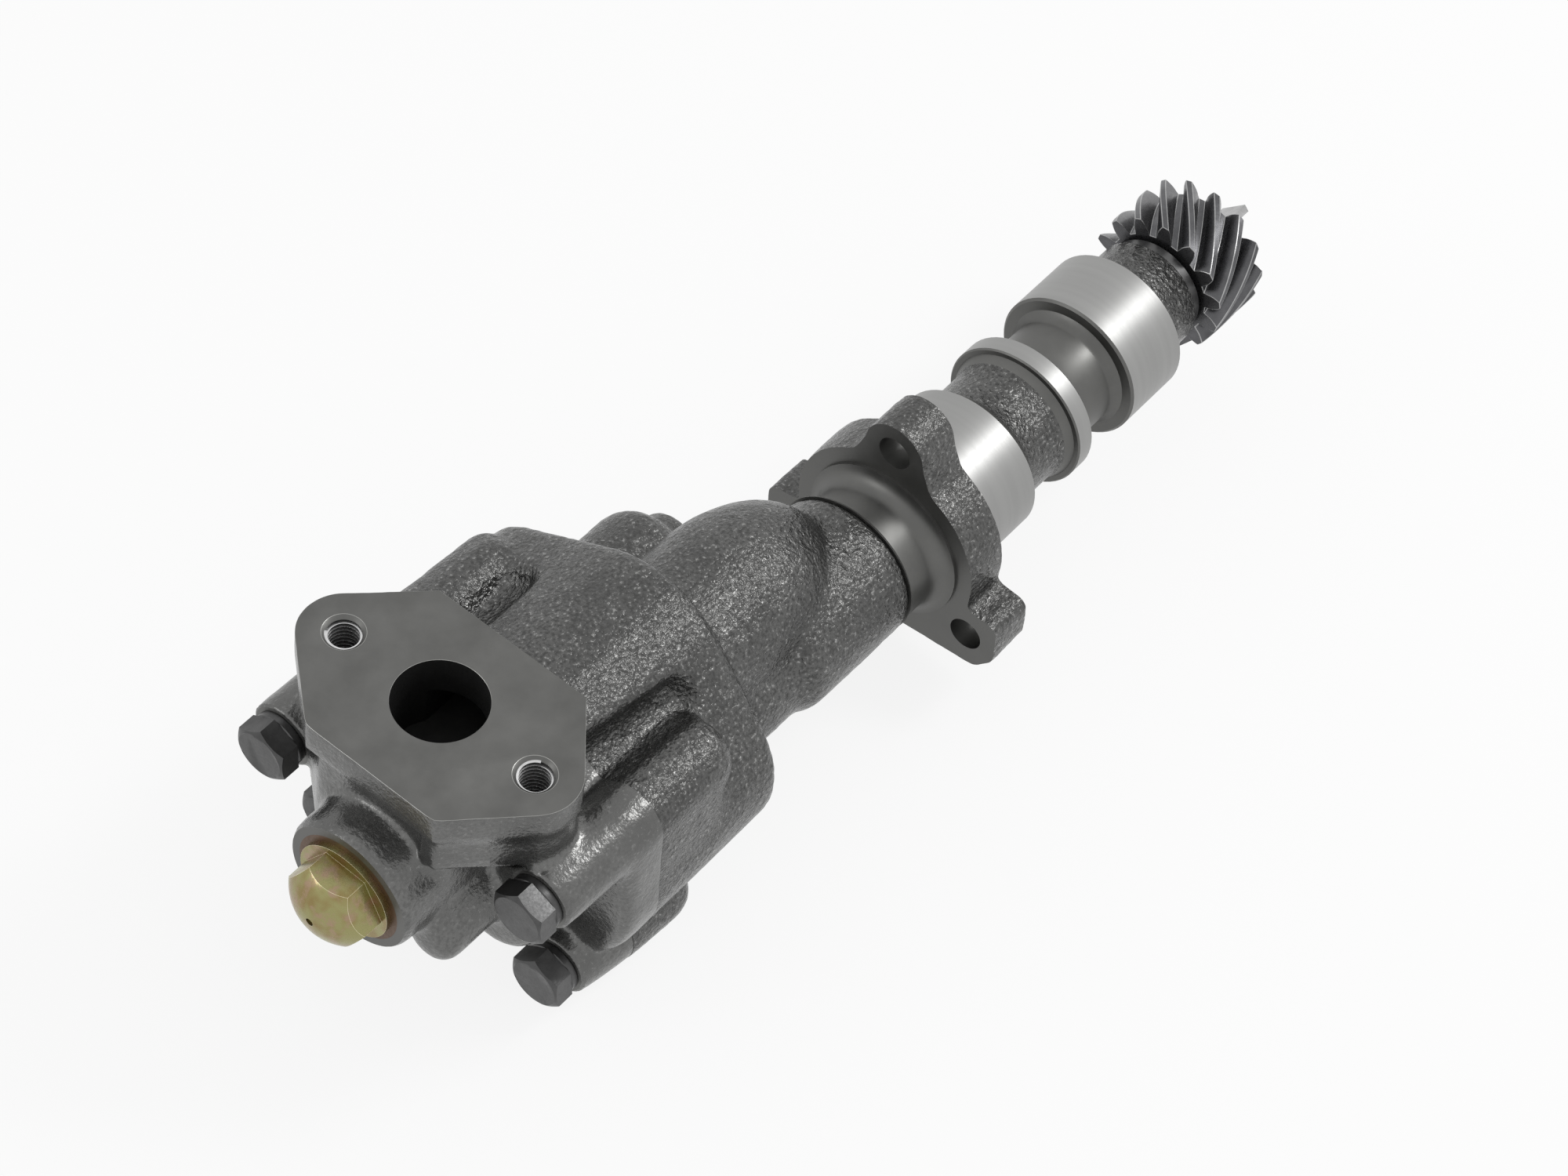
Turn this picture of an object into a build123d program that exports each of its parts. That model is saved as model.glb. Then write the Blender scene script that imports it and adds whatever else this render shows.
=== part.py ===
from build123d import *
import os
from math import acos, asin, atan, atan2, cos, degrees, hypot, pi, radians, sin, sqrt, tan

# Engine oil pump: a gear pump whose drive shaft runs through a long journal neck
# to a helical gear. +X runs along the drive shaft from the pump to the helical gear,
# +Z is the normal of the inlet face. The origin is on the shaft axis, in the plane
# of the mounting flange's seating face. All sizes are millimetres.

# Places along the shaft
flange_thickness = 12.0
shoulder_x = -24.5
body_rear_x = -83.7
joint_x = -126.7
rear_wall = 8.0

# Journal neck: the upper journal is smaller, so that it passes through the lower journal's seat
journal_radius = 20.0
upper_journal_radius = 19.8
ring_radius = 19.6
lower_journal_length = 21.8
lower_neck_length = 17.8
ring_width = 5.5
oil_groove_width = 16.4
upper_journal_length = 20.7
upper_neck_length = 14.1
rough_neck_radius = 16.4
oil_groove_radius = 14.8
upper_neck_radius = 14.8
gallery_radius = 11.5
gallery_window_radius = 4.5

# Mounting flange
flange_disc_radius = 26.0
flange_half_width = 34.6
flange_lug_radius = 8.5
flange_corner_radius = 3.0
mount_circle_radius = 30.0
mount_hole_radius = 4.4
mount_turn = -3.0
seat_undercut = 0.5

# Neck casting between pump body and flange
tube_centre = (1.0, 1.4)
tube_radius = 19.2
tube_start_x = -62.0
waist_radius = 15.3
channel_lobe = (9.5, 14.0)
channel_lobe_radius = 20.2
channel_dome_x = -64.0
channel_dome_length = 32.0
return_lobe = (13.0, -12.0)
return_lobe_radius = 10.0
return_lobe_end_x = -50.0
return_passage_radius = 5.5
groove_radius = 17.3
collar_radius = 21.5

# Drive shaft, its bushes and the helical gear
shaft_radius = 8.0
running_gap = 0.03
bush_wall = 2.0
bush_length = 20.0
shaft_end_gap = 1.0
thrust_washer_thickness = 2.5
thrust_washer_radius = 13.5
end_play = 0.1
helical_teeth = 14
helical_module = 2.0
helix_angle = 35.0
helical_width = 18.8
helical_phase = 8.7
helical_hub_radius = 11.5
helical_hub_length = 1.0
helical_key_width = 4.0
helical_key_length = 14.0
helical_key_depth = 2.2
circlip_radius = 10.2
circlip_thickness = 1.1
circlip_groove_depth = 0.8
shaft_tail_length = 3.0
tang_length = 13.0
tang_width = 8.1
tang_thickness = 2.0
tang_turn = 135.0

# Pump gears
gear_teeth = 12
gear_module = 3.0
gear_pressure_angle = 28.0
gear_dedendum = 1.2
gear_backlash = 0.16
side_gap = 0.05
tip_gap = 0.12
idler_shaft_radius = 7.5
idler_bush_wall = 2.0
key_width = 5.0
key_height = 5.0
key_depth_in_shaft = 3.0
key_length = 20.0

# Pump body casting
body_wall = 5.4
idler_wall = 6.9
chamber_lobe = (14.0, 19.0)
chamber_lobe_radius = 26.0
chamber_wall = 5.0
corner_lobe = (46.0, 16.0)
corner_lobe_radius = 12.5
idler_boss_radius = 14.5
idler_boss_end_x = -51.0
idler_boss_rounding = 7.0
idler_nose_radius = 8.3
idler_nose_length = 5.5
idler_seat_floor = 9.0
pad_y = 10.5
pad_width = 11.0
side_wall_lobe = (-11.0, 6.0)
side_wall_lobe_radius = 15.0
left_boss_side = (49.4, 25.2)
left_boss_side_radii = (7.4, 6.6)
left_boss_side_end_x = -92.5
left_valley = (43.5, 34.0)
left_valley_edge = (40.5, 35.5)
left_valley_radius = 6.5
left_valley_end_x = -98.0
right_valley = (-8.8, 31.5)
right_valley_radius = 4.0
right_valley_end_x = -101.0

# Inlet flange on the cover
inlet_height = 52.0
inlet_bore_radius = 10.8
inlet_x = -148.5
inlet_y = 20.8
plate_shift_x = -0.5
plate_half_x = 23.3
plate_corner_right = 19.4
plate_corner_left = 16.6
plate_end_radius = 10.5
plate_thickness = 9.0
inlet_screw_spacing = 54.0
inlet_screw_radius = 4.0
inlet_screw_depth = 16.0
inlet_chamber_depth = 22.0

# Cover casting
cover_flange_thickness = 11.0
core_inset = 3.0
core_foot_z = 10.0
core_edge_y = 1.0
skirt_inset = 1.0
skirt_foot_z = 31.5
skirt_edge_y = 6.0
bearing_boss_front_x = -154.0
bearing_boss_radius = 13.0
spill_lobe_front_x = -172.0
spill_lobe = (2.0, 4.5)
spill_lobe_radius = 7.0
spill_root = (10.0, 16.0)
spill_root_radius = 8.0
web_front_x = -153.0
web_foot = (2.0, 6.0)
web_foot_radius = 8.0
web_tip = (-14.0, 20.0)
web_tip_radius = 5.0
relief_y = 17.5
relief_z = 19.0
relief_front_x = -179.7
relief_boss_radius = 17.0
relief_bore_radius = 9.0
relief_bore_end_x = -133.0
relief_feed_radius = 3.5

# Relief valve
plug_thread_radius = 11.0
plug_thread_length = 12.0
plug_flange_radius = 12.4
plug_flange_thickness = 1.5
plug_across_flats = 19.0
plug_head_height = 12.1
plug_dome_radius = 13.8
plug_turn = 34.0
seal_ring_radius = 14.0
seal_ring_thickness = 1.5
piston_length = 16.0
piston_wall = 2.2
piston_gap = 0.03
piston_travel = 7.0
spring_wire_radius = 0.9
spring_coil_radius = 5.0
spring_turns = 6.0

# Cover bolts with spring washers, each at (y, z) with its seat plane
bolt_radius = 4.0
bolt_hole_radius = 4.4
bolt_across_flats = 13.0
bolt_head_height = 5.3
bolt_bevel = 0.9
bolt_lug_radius = 8.5
head_space_radius = 7.9
washer_radius = 6.8
washer_thickness = 2.0
washer_split = 1.4
thread_gap = 0.04
long_bolt_length = 50.0
short_bolt_length = 30.0
long_bolts = [(52.5, 23.5, -162.7), (-16.0, 23.5, -156.7)]
short_bolts = [(-11.3, -24.9, -141.7), (52.6, -23.5, -141.7)]
boss_end_x = [-90.4, -100.0, -103.6, -104.0]
boss_joint_radii = [7.6, 9.4, 10.6, 8.4]
boss_end_radii = [6.0, 9.8, 12.0, 8.0]
boss_rounding = [5.0, 5.0, 7.5, 5.0]
dowel_radius = 5.6
dowel_length = 10.0

# Worked out from the sizes above
gear_pitch_radius = gear_module * gear_teeth / 2
gear_tip_radius = gear_pitch_radius + gear_module
centre_distance = 2 * gear_pitch_radius
pocket_radius = gear_tip_radius + tip_gap
pocket_end_x = body_rear_x - rear_wall
delivery_depth = 0.75 * gear_pitch_radius
delivery_radius = 0.5 * gear_pitch_radius
body_radius = pocket_radius + body_wall
idler_body_radius = pocket_radius + idler_wall
bush_radius = shaft_radius + bush_wall
ring_x = lower_journal_length + lower_neck_length
oil_groove_x = ring_x + ring_width
upper_journal_x = oil_groove_x + oil_groove_width
upper_neck_x = upper_journal_x + upper_journal_length
neck_end_x = upper_neck_x + upper_neck_length
helical_hub_x = neck_end_x + thrust_washer_thickness + end_play
helical_x = helical_hub_x + helical_hub_length
helical_end_x = helical_x + helical_width
shaft_end_x = helical_end_x + shaft_tail_length
shaft_start_x = joint_x - bush_length + shaft_end_gap
idler_shaft_end_x = idler_boss_end_x - idler_seat_floor
plate_x = inlet_x + plate_shift_x
all_bolts = long_bolts + short_bolts


def section(x):
    """Plane across the shaft at x, with its own axes along +Y and +Z."""
    return Plane(origin=(x, 0, 0), x_dir=(0, 1, 0), z_dir=(1, 0, 0))


def along(x0, x1, sketch):
    """Solid of a cross-section sketch between two places on the shaft axis."""
    return extrude(section(x0) * sketch, amount=x1 - x0)


def rod(x0, x1, radius, y=0.0, z=0.0):
    return along(x0, x1, Pos(y, z) * Circle(radius))


def taper(x0, x1, radius0, radius1, y, z):
    """Cone frustum parallel to the shaft."""
    centred = (Align.CENTER, Align.CENTER, Align.MIN)
    cone = Cone(radius0, radius1, x1 - x0, rotation=(0, 90, 0), align=centred)
    return Pos(x0, y, z) * cone


def round_hull(*circles):
    """Outline stretched round circles given as (centre, radius), anticlockwise."""
    spans = []
    for (a, ra), (b, rb) in zip(circles, circles[1:] + circles[:1]):
        length = hypot(b[0] - a[0], b[1] - a[1])
        heading = atan2(b[1] - a[1], b[0] - a[0])
        spans.append(heading - pi / 2 + asin((ra - rb) / length))
    edges = []
    for index, (centre, radius) in enumerate(circles):
        arrive = spans[index - 1]
        leave = spans[index]
        while leave < arrive:
            leave += 2 * pi
        rim = [on_circle(centre, radius, turn) for turn in (arrive, (arrive + leave) / 2, leave)]
        following, next_radius = circles[(index + 1) % len(circles)]
        edges.append(ThreePointArc(*rim))
        edges.append(Line(rim[2], on_circle(following, next_radius, spans[index])))
    return make_face(edges)


def polygon(*corners):
    """Polygon with its corners taken anticlockwise."""
    doubled_area = 0.0
    for a, b in zip(corners, corners[1:] + corners[:1]):
        doubled_area += a[0] * b[1] - b[0] * a[1]
    if doubled_area < 0:
        corners = corners[::-1]
    return Polygon(*corners, align=None)


def on_circle(centre, radius, angle):
    return (centre[0] + radius * cos(angle), centre[1] + radius * sin(angle))


def rounded_end(solid, radius, front=False):
    """The solid with the edges of its rear (or front) end face rounded."""
    faces = solid.faces().filter_by(GeomType.PLANE).filter_by(Axis.X).sort_by(Axis.X)
    face = faces[0] if front else faces[-1]
    return fillet(face.edges(), radius)


def gear_outline(teeth, pitch_radius, tip_radius, root_radius, pressure_angle, backlash):
    """Closed outline of an involute gear with a tooth centred on the first axis."""
    base_radius = pitch_radius * cos(pressure_angle)
    half = pi / (2 * teeth) + tan(pressure_angle) - pressure_angle - backlash / (4 * pitch_radius)
    start = max(base_radius, root_radius)
    steps = 5
    flank = []
    for i in range(steps + 1):
        radius = start + (tip_radius - start) * i / steps
        roll = acos(min(1.0, base_radius / radius))
        flank.append((radius, half - (tan(roll) - roll)))
    points = []
    for tooth in range(teeth):
        middle = 2 * pi * tooth / teeth
        foot = middle - flank[0][1]
        points.append((root_radius * cos(foot), root_radius * sin(foot)))
        for radius, angle in flank:
            points.append((radius * cos(middle - angle), radius * sin(middle - angle)))
        for radius, angle in reversed(flank):
            points.append((radius * cos(middle + angle), radius * sin(middle + angle)))
        foot = middle + flank[0][1]
        points.append((root_radius * cos(foot), root_radius * sin(foot)))
    return Polygon(*points, align=None)


def body_outline():
    """Outline of the pump body: both gears, a bolt's corner and the inlet chamber above the mesh."""
    return round_hull(((0, 0), body_radius), ((centre_distance, 0), idler_body_radius),
                      (corner_lobe, corner_lobe_radius), (chamber_lobe, chamber_lobe_radius))


def valleys(front):
    """Grooves beside the long bolts' bosses, from a place in front of the joint to their rounded ends."""
    left = round_hull((left_valley, left_valley_radius), (left_valley_edge, left_valley_radius))
    solids = [rounded_end(along(front, left_valley_end_x, left), 0.8 * left_valley_radius)]
    y, z = right_valley
    solids.append(rod(front, right_valley_end_x, right_valley_radius, y, z))
    solids.append(Pos(right_valley_end_x, y, z) * Sphere(right_valley_radius))
    return solids


def side_wall_outline():
    """Right-hand long boss and the wall that carries it down to the side of the body."""
    y, z, _ = long_bolts[1]
    return round_hull(((y, z), boss_joint_radii[1]), (side_wall_lobe, side_wall_lobe_radius))


def chamber_outline():
    """Inlet chamber above the gears, inside the body's wall."""
    inner = Pos(*chamber_lobe) * Circle(chamber_lobe_radius - chamber_wall)
    side = 2 * chamber_lobe_radius
    window = Pos(centre_distance / 2, chamber_lobe[1] + side / 4) * Rectangle(gear_tip_radius, side / 2)
    return inner & window


def delivery_outline():
    """Delivery chamber below the mesh of the gears."""
    return Pos(centre_distance / 2, -delivery_depth) * Circle(delivery_radius)


def soft_corners(outline):
    """The outline with its outer corners rounded."""
    return offset(offset(outline, amount=-flange_corner_radius), amount=flange_corner_radius)


def flange_outline():
    """Three-lug flange with flat-sided lower lugs."""
    outline = Circle(flange_disc_radius)
    lug = polygon((-flange_lug_radius, mount_circle_radius), (flange_lug_radius, mount_circle_radius),
                  (1.4 * flange_lug_radius, 0.85 * flange_disc_radius),
                  (-1.4 * flange_lug_radius, 0.85 * flange_disc_radius))
    outline += lug + Pos(0, mount_circle_radius) * Circle(flange_lug_radius)
    hole_z = -mount_circle_radius / 2
    top = hole_z + 1.3 * flange_lug_radius
    low = hole_z - 1.1 * flange_lug_radius
    for side in (-1, 1):
        edge = side * flange_half_width
        outline += soft_corners(polygon((0, top), (edge, top - 3), (edge, hole_z - 4),
                                        (edge - side * 5, low), (0, -flange_disc_radius)))
    return Rot(0, 0, mount_turn) * outline


def mount_points():
    """The three mounting holes as (y, z)."""
    points = []
    for lug in range(3):
        turn = radians(90 + mount_turn + 120 * lug)
        points.append((mount_circle_radius * cos(turn), mount_circle_radius * sin(turn)))
    return points


def journal_profile():
    """Half section of the journal neck from the flange to the upper end."""
    face = 1.6
    hollow = 3.0
    r = journal_radius
    ring = ring_radius
    upper = upper_journal_radius
    with BuildSketch(Plane.XY) as sketch:
        with BuildLine():
            l1 = Line((-flange_thickness, 0), (-flange_thickness, r - 1))
            l2 = Line(l1 @ 1, (0, r - 1))
            l3 = Polyline(l2 @ 1, (1.5, r - 0.6), (2.1, r), (lower_journal_length - 0.8, r),
                          (lower_journal_length, r - 0.8), (lower_journal_length, r - face))
            l4 = Line(l3 @ 1, (lower_journal_length + hollow, rough_neck_radius))
            l5 = Line(l4 @ 1, (ring_x - hollow, rough_neck_radius))
            l6 = Line(l5 @ 1, (ring_x, ring - face))
            l7 = Polyline(l6 @ 1, (ring_x, ring - 0.4), (ring_x + 0.4, ring), (oil_groove_x - 0.4, ring),
                          (oil_groove_x, ring - 0.4), (oil_groove_x, ring - face))
            l8 = RadiusArc(l7 @ 1, (oil_groove_x + hollow, oil_groove_radius), -4.2)
            l9 = Line(l8 @ 1, (upper_journal_x - hollow, oil_groove_radius))
            l10 = RadiusArc(l9 @ 1, (upper_journal_x, upper - 2 * face), -4.2)
            l11 = Polyline(l10 @ 1, (upper_journal_x, upper - 0.6), (upper_journal_x + 0.6, upper),
                           (upper_neck_x - 0.6, upper), (upper_neck_x, upper - 0.6),
                           (upper_neck_x, upper - 2 * face))
            l12 = RadiusArc(l11 @ 1, (upper_neck_x + hollow, upper_neck_radius), -4.2)
            l13 = Polyline(l12 @ 1, (neck_end_x - 1, upper_neck_radius),
                           (neck_end_x, upper_neck_radius - 1), (neck_end_x, 0))
            Line(l13 @ 1, (-flange_thickness, 0))
        make_face()
    return sketch.sketch


def groove_profile():
    """Half section of the machined groove behind the mounting flange."""
    edge = -flange_thickness - 0.8
    with BuildSketch(Plane.XY) as sketch:
        with BuildLine():
            l1 = Polyline((shoulder_x - 1, 0), (shoulder_x - 1, groove_radius), (edge - 4.4, groove_radius))
            l2 = RadiusArc(l1 @ 1, (edge, collar_radius), -4.5)
            l3 = Polyline(l2 @ 1, (-flange_thickness + 1, collar_radius), (-flange_thickness + 1, 0))
            Line(l3 @ 1, l1 @ 0)
        make_face()
    return sketch.sketch


def neck_casting():
    """Neck between body and flange: tube, waist, return lobe and the long dome of the oil channel."""
    start = body_rear_x - rear_wall / 2
    with BuildSketch(Plane.XY) as half:
        with BuildLine():
            Line((start, channel_lobe_radius), (channel_dome_x, channel_lobe_radius))
            EllipticalCenterArc((channel_dome_x, 0), channel_dome_length, channel_lobe_radius, 0,
                                arc_size=90)
            Polyline((channel_dome_x + channel_dome_length, 0), (start, 0), (start, channel_lobe_radius))
        make_face()
    neck = Pos(0, *channel_lobe) * revolve(half.sketch, Axis.X)
    lower = round_hull(((0, 0), waist_radius), (return_lobe, return_lobe_radius))
    neck += rounded_end(along(start, return_lobe_end_x, lower), 6.0)
    tube = rounded_end(rod(tube_start_x, shoulder_x, tube_radius, *tube_centre), 1.2)
    return neck + rounded_end(tube, 5.0, front=True)


def bolt_bosses():
    """Threaded bosses for the cover bolts along the sides of the body."""
    bosses = []
    sizes = zip(all_bolts, boss_end_x, boss_joint_radii, boss_end_radii, boss_rounding)
    for (y, z, _), end, joint_radius, end_radius, rounding in sizes:
        bosses.append(rounded_end(taper(joint_x, end, joint_radius, end_radius, y, z), rounding))
    y, z = left_boss_side
    side = taper(joint_x, left_boss_side_end_x, *left_boss_side_radii, y, z)
    bosses.append(rounded_end(side, boss_rounding[0]))
    return bosses


def stamping_pad():
    """Flat pad along the top of the body."""
    top = chamber_lobe[1] + chamber_lobe_radius
    pad = Box(body_rear_x - joint_x - 2, pad_width, 8, align=(Align.MIN, Align.CENTER, Align.MAX))
    return Pos(joint_x, pad_y, top) * pad


def pump_housing():
    solid = rounded_end(along(joint_x, body_rear_x, body_outline()), 3.0)
    solid += stamping_pad()
    solid += rounded_end(along(joint_x, boss_end_x[1] - 2, side_wall_outline()), 5.0)
    for valley in valleys(joint_x):
        solid -= valley
    solid += neck_casting()
    for boss in bolt_bosses():
        solid += boss
    solid += rounded_end(rod(body_rear_x - 2, idler_boss_end_x, idler_boss_radius, centre_distance, 0),
                         idler_boss_rounding)
    solid += rounded_end(rod(body_rear_x - 2, idler_boss_end_x + idler_nose_length, idler_nose_radius,
                             centre_distance, 0), 2.5)
    solid += along(-flange_thickness, 0, flange_outline())
    solid += revolve(groove_profile(), Axis.X)
    solid += revolve(journal_profile(), Axis.X)
    # Undercut of the seating face round the lower journal
    solid -= along(-seat_undercut, 0, Circle(journal_radius + seat_undercut) - Circle(journal_radius - 1))
    # Gear pockets, chambers and the oil's way into the neck
    solid -= rod(joint_x, pocket_end_x, pocket_radius)
    solid -= rod(joint_x, pocket_end_x, pocket_radius, centre_distance, 0)
    solid -= along(joint_x, pocket_end_x, chamber_outline())
    solid -= along(joint_x, pocket_end_x, delivery_outline())
    passage_end = return_lobe_end_x - 6
    solid -= rod(pocket_end_x - 1, passage_end, return_passage_radius, *return_lobe)
    link = Plane(origin=(passage_end - return_passage_radius, 0, 0), z_dir=(0, *return_lobe))
    solid -= extrude(link * Circle(return_passage_radius - 1), amount=hypot(*return_lobe))
    # Bore through the neck: two bush seats with the oil gallery between them
    solid -= rod(pocket_end_x - 1, pocket_end_x + bush_length, bush_radius)
    solid -= rod(pocket_end_x + bush_length, ring_x, gallery_radius)
    solid -= rod(ring_x, neck_end_x - bush_length, shaft_radius + 1)
    solid -= rod(neck_end_x - bush_length, neck_end_x + 1, bush_radius)
    window_x = (lower_journal_length + ring_x) / 2
    for turn in (0, 270):
        window = Plane(origin=(window_x, 0, 0), z_dir=(0, cos(radians(turn)), sin(radians(turn))))
        solid -= extrude(window * Circle(gallery_window_radius), amount=journal_radius)
    # Idler shaft seat, threaded bolt holes, dowel seats and mounting holes
    solid -= rod(pocket_end_x - 1, idler_shaft_end_x, idler_shaft_radius, centre_distance, 0)
    for y, z, seat in long_bolts:
        solid -= rod(joint_x - 1, seat - washer_thickness + long_bolt_length + 3, bolt_radius, y, z)
    for y, z, seat in short_bolts:
        solid -= rod(joint_x - 1, seat - washer_thickness + short_bolt_length + 3, bolt_radius, y, z)
    for y, z, _ in dowel_places():
        solid -= rod(joint_x - 1, joint_x + dowel_length / 2, dowel_radius, y, z)
    for y, z in mount_points():
        solid -= rod(-flange_thickness - 1, 1, mount_hole_radius, y, z)
    return solid


def dowel_places():
    """Two opposite bolts carry the hollow dowels."""
    return [long_bolts[1], short_bolts[1]]


def plate_outline():
    """Diamond outline of the inlet flange, seen along Z about its own centre."""
    half_y = inlet_screw_spacing / 2
    outline = Circle(inlet_bore_radius)
    for side, corner in ((-1, plate_corner_right), (1, plate_corner_left)):
        outline += Pos(0, side * corner / 2) * Rectangle(2 * plate_half_x, corner)
        outline += Pos(0, side * half_y) * Circle(plate_end_radius)
        shoulder = plate_end_radius * sin(radians(45))
        tangent_y = side * (half_y + shoulder)
        outline += polygon((-plate_half_x, side * corner), (-shoulder, tangent_y),
                           (shoulder, tangent_y), (plate_half_x, side * corner))
    return outline


def inlet_flange():
    """Flange plate, the core under it and the skirt beside the right-hand long bolt."""
    under = Plane(origin=(plate_x, inlet_y, inlet_height - plate_thickness))
    solid = extrude(under * plate_outline(), amount=plate_thickness)
    window = Rectangle(4 * plate_half_x, 4 * plate_half_x)
    beyond = Pos(0, core_edge_y - inlet_y + 2 * plate_half_x) * window
    core = offset(plate_outline(), amount=-core_inset) & beyond
    solid += extrude(under * core, amount=core_foot_z + plate_thickness - inlet_height)
    beside = Pos(0, skirt_edge_y - inlet_y - 2 * plate_half_x) * window
    skirt = offset(plate_outline(), amount=-skirt_inset) & beside
    solid += extrude(under * skirt, amount=skirt_foot_z + plate_thickness - inlet_height)
    return solid


def pump_cover():
    front = joint_x - cover_flange_thickness
    solid = rounded_end(along(front, joint_x, body_outline()), 3.0, front=True)
    solid += rounded_end(along(front, joint_x, side_wall_outline()), 3.0, front=True)
    for valley in valleys(front):
        solid -= valley
    solid += inlet_flange()
    solid += rounded_end(rod(bearing_boss_front_x, joint_x, bearing_boss_radius), 4.0, front=True)
    relief_boss = rod(relief_front_x, joint_x, relief_boss_radius, relief_y, relief_z)
    solid += rounded_end(relief_boss, 1.2, front=True)
    spill = round_hull((spill_lobe, spill_lobe_radius), (spill_root, spill_root_radius))
    solid += rounded_end(along(spill_lobe_front_x, joint_x, spill), 4.0, front=True)
    solid += along(web_front_x, joint_x, round_hull((web_foot, web_foot_radius), (web_tip, web_tip_radius)))
    for (y, z, seat), joint_radius in zip(all_bolts, boss_joint_radii):
        solid += taper(seat, joint_x, bolt_lug_radius, joint_radius, y, z)
    # Nothing stands behind the joint face
    behind = Box(60, 200, 200, align=(Align.MIN, Align.CENTER, Align.CENTER))
    solid -= Pos(joint_x, 0, 0) * behind
    # Room for the bolt heads
    for y, z, seat in all_bolts:
        solid -= rod(seat - 30, seat, head_space_radius, y, z)
    # Inlet bore, inlet chamber and screw holes
    floor = inlet_height - inlet_chamber_depth
    inlet = Plane(origin=(inlet_x, inlet_y, floor))
    solid -= extrude(inlet * Circle(inlet_bore_radius), amount=inlet_chamber_depth + 1)
    chamber = Box(joint_x - inlet_x, 2 * inlet_bore_radius - 2, 11,
                  align=(Align.MIN, Align.CENTER, Align.MIN))
    solid -= Pos(inlet_x, inlet_y - 1, floor) * chamber
    for side in (-1, 1):
        screw_y = inlet_y + side * inlet_screw_spacing / 2
        hole = Plane(origin=(plate_x, screw_y, inlet_height - inlet_screw_depth))
        solid -= extrude(hole * Circle(inlet_screw_radius), amount=inlet_screw_depth + 1)
    # Relief valve bore and its feed from the delivery side
    relief = (relief_y, relief_z)
    solid -= rod(relief_front_x - 1, relief_front_x + seal_ring_thickness, seal_ring_radius, *relief)
    thread_end = relief_front_x + plug_thread_length + 1
    solid -= rod(relief_front_x - 1, thread_end, plug_thread_radius, *relief)
    solid -= rod(relief_front_x, relief_bore_end_x, relief_bore_radius, relief_y, relief_z)
    feed_z = -delivery_depth
    feed_x = relief_bore_end_x + relief_feed_radius / 3
    solid -= rod(feed_x, joint_x + 1, relief_feed_radius, centre_distance / 2, feed_z)
    feed = Plane(origin=(feed_x, centre_distance / 2, feed_z))
    solid -= extrude(feed * Circle(relief_feed_radius), amount=relief_z - feed_z)
    # Shaft bush seat, bolt holes and dowel seats
    solid -= rod(joint_x - bush_length, joint_x + 1, bush_radius)
    for y, z, seat in all_bolts:
        solid -= rod(seat - 1, joint_x + 1, bolt_hole_radius, y, z)
    for y, z, _ in dowel_places():
        solid -= rod(joint_x - dowel_length / 2, joint_x + 1, dowel_radius, y, z)
    return solid


def key_space(middle, length, width, bottom, top):
    """Space of a parallel key beside the shaft axis, from one height to another."""
    slot = Box(length, width, top - bottom, align=(Align.CENTER, Align.CENTER, Align.MIN))
    return Pos(middle, 0, bottom) * slot


def gear_key_space(top):
    middle = (joint_x + pocket_end_x) / 2
    return key_space(middle, key_length, key_width, shaft_radius - key_depth_in_shaft, top)


def helical_key_space(top):
    middle = helical_x + helical_width / 2
    return key_space(middle, helical_key_length, helical_key_width, shaft_radius - helical_key_depth, top)


def circlip_space():
    """Groove of the circlip right behind the helical gear."""
    ring = Circle(circlip_radius) - Circle(shaft_radius - circlip_groove_depth)
    return along(helical_end_x + side_gap, helical_end_x + 2 * side_gap + circlip_thickness, ring)


def drive_shaft():
    """Shaft with two key slots, a circlip groove and a flat tang on its far end."""
    solid = rod(shaft_start_x, shaft_end_x, shaft_radius)
    ends = solid.faces().filter_by(GeomType.PLANE).edges()
    solid = chamfer(ends, 0.8)
    tang = Box(tang_length + 1, tang_width, tang_thickness, align=(Align.MIN, Align.CENTER, Align.CENTER))
    solid += Pos(shaft_end_x - 1, 0, 0) * (Rot(tang_turn, 0, 0) * tang)
    solid -= gear_key_space(shaft_radius + 1)
    solid -= helical_key_space(shaft_radius + 1)
    return solid - circlip_space()


def gear_key():
    return gear_key_space(shaft_radius - key_depth_in_shaft + key_height)


def helical_gear_key():
    return helical_key_space(shaft_radius - helical_key_depth + helical_key_width)


def shaft_circlip():
    """Open ring that keeps the helical gear on the shaft."""
    ring = Circle(circlip_radius) - Circle(shaft_radius - circlip_groove_depth)
    mouth = Pos(0, -circlip_radius) * Rectangle(shaft_radius, 2 * circlip_radius)
    return along(helical_end_x + side_gap, helical_end_x + side_gap + circlip_thickness, ring - mouth)


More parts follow.
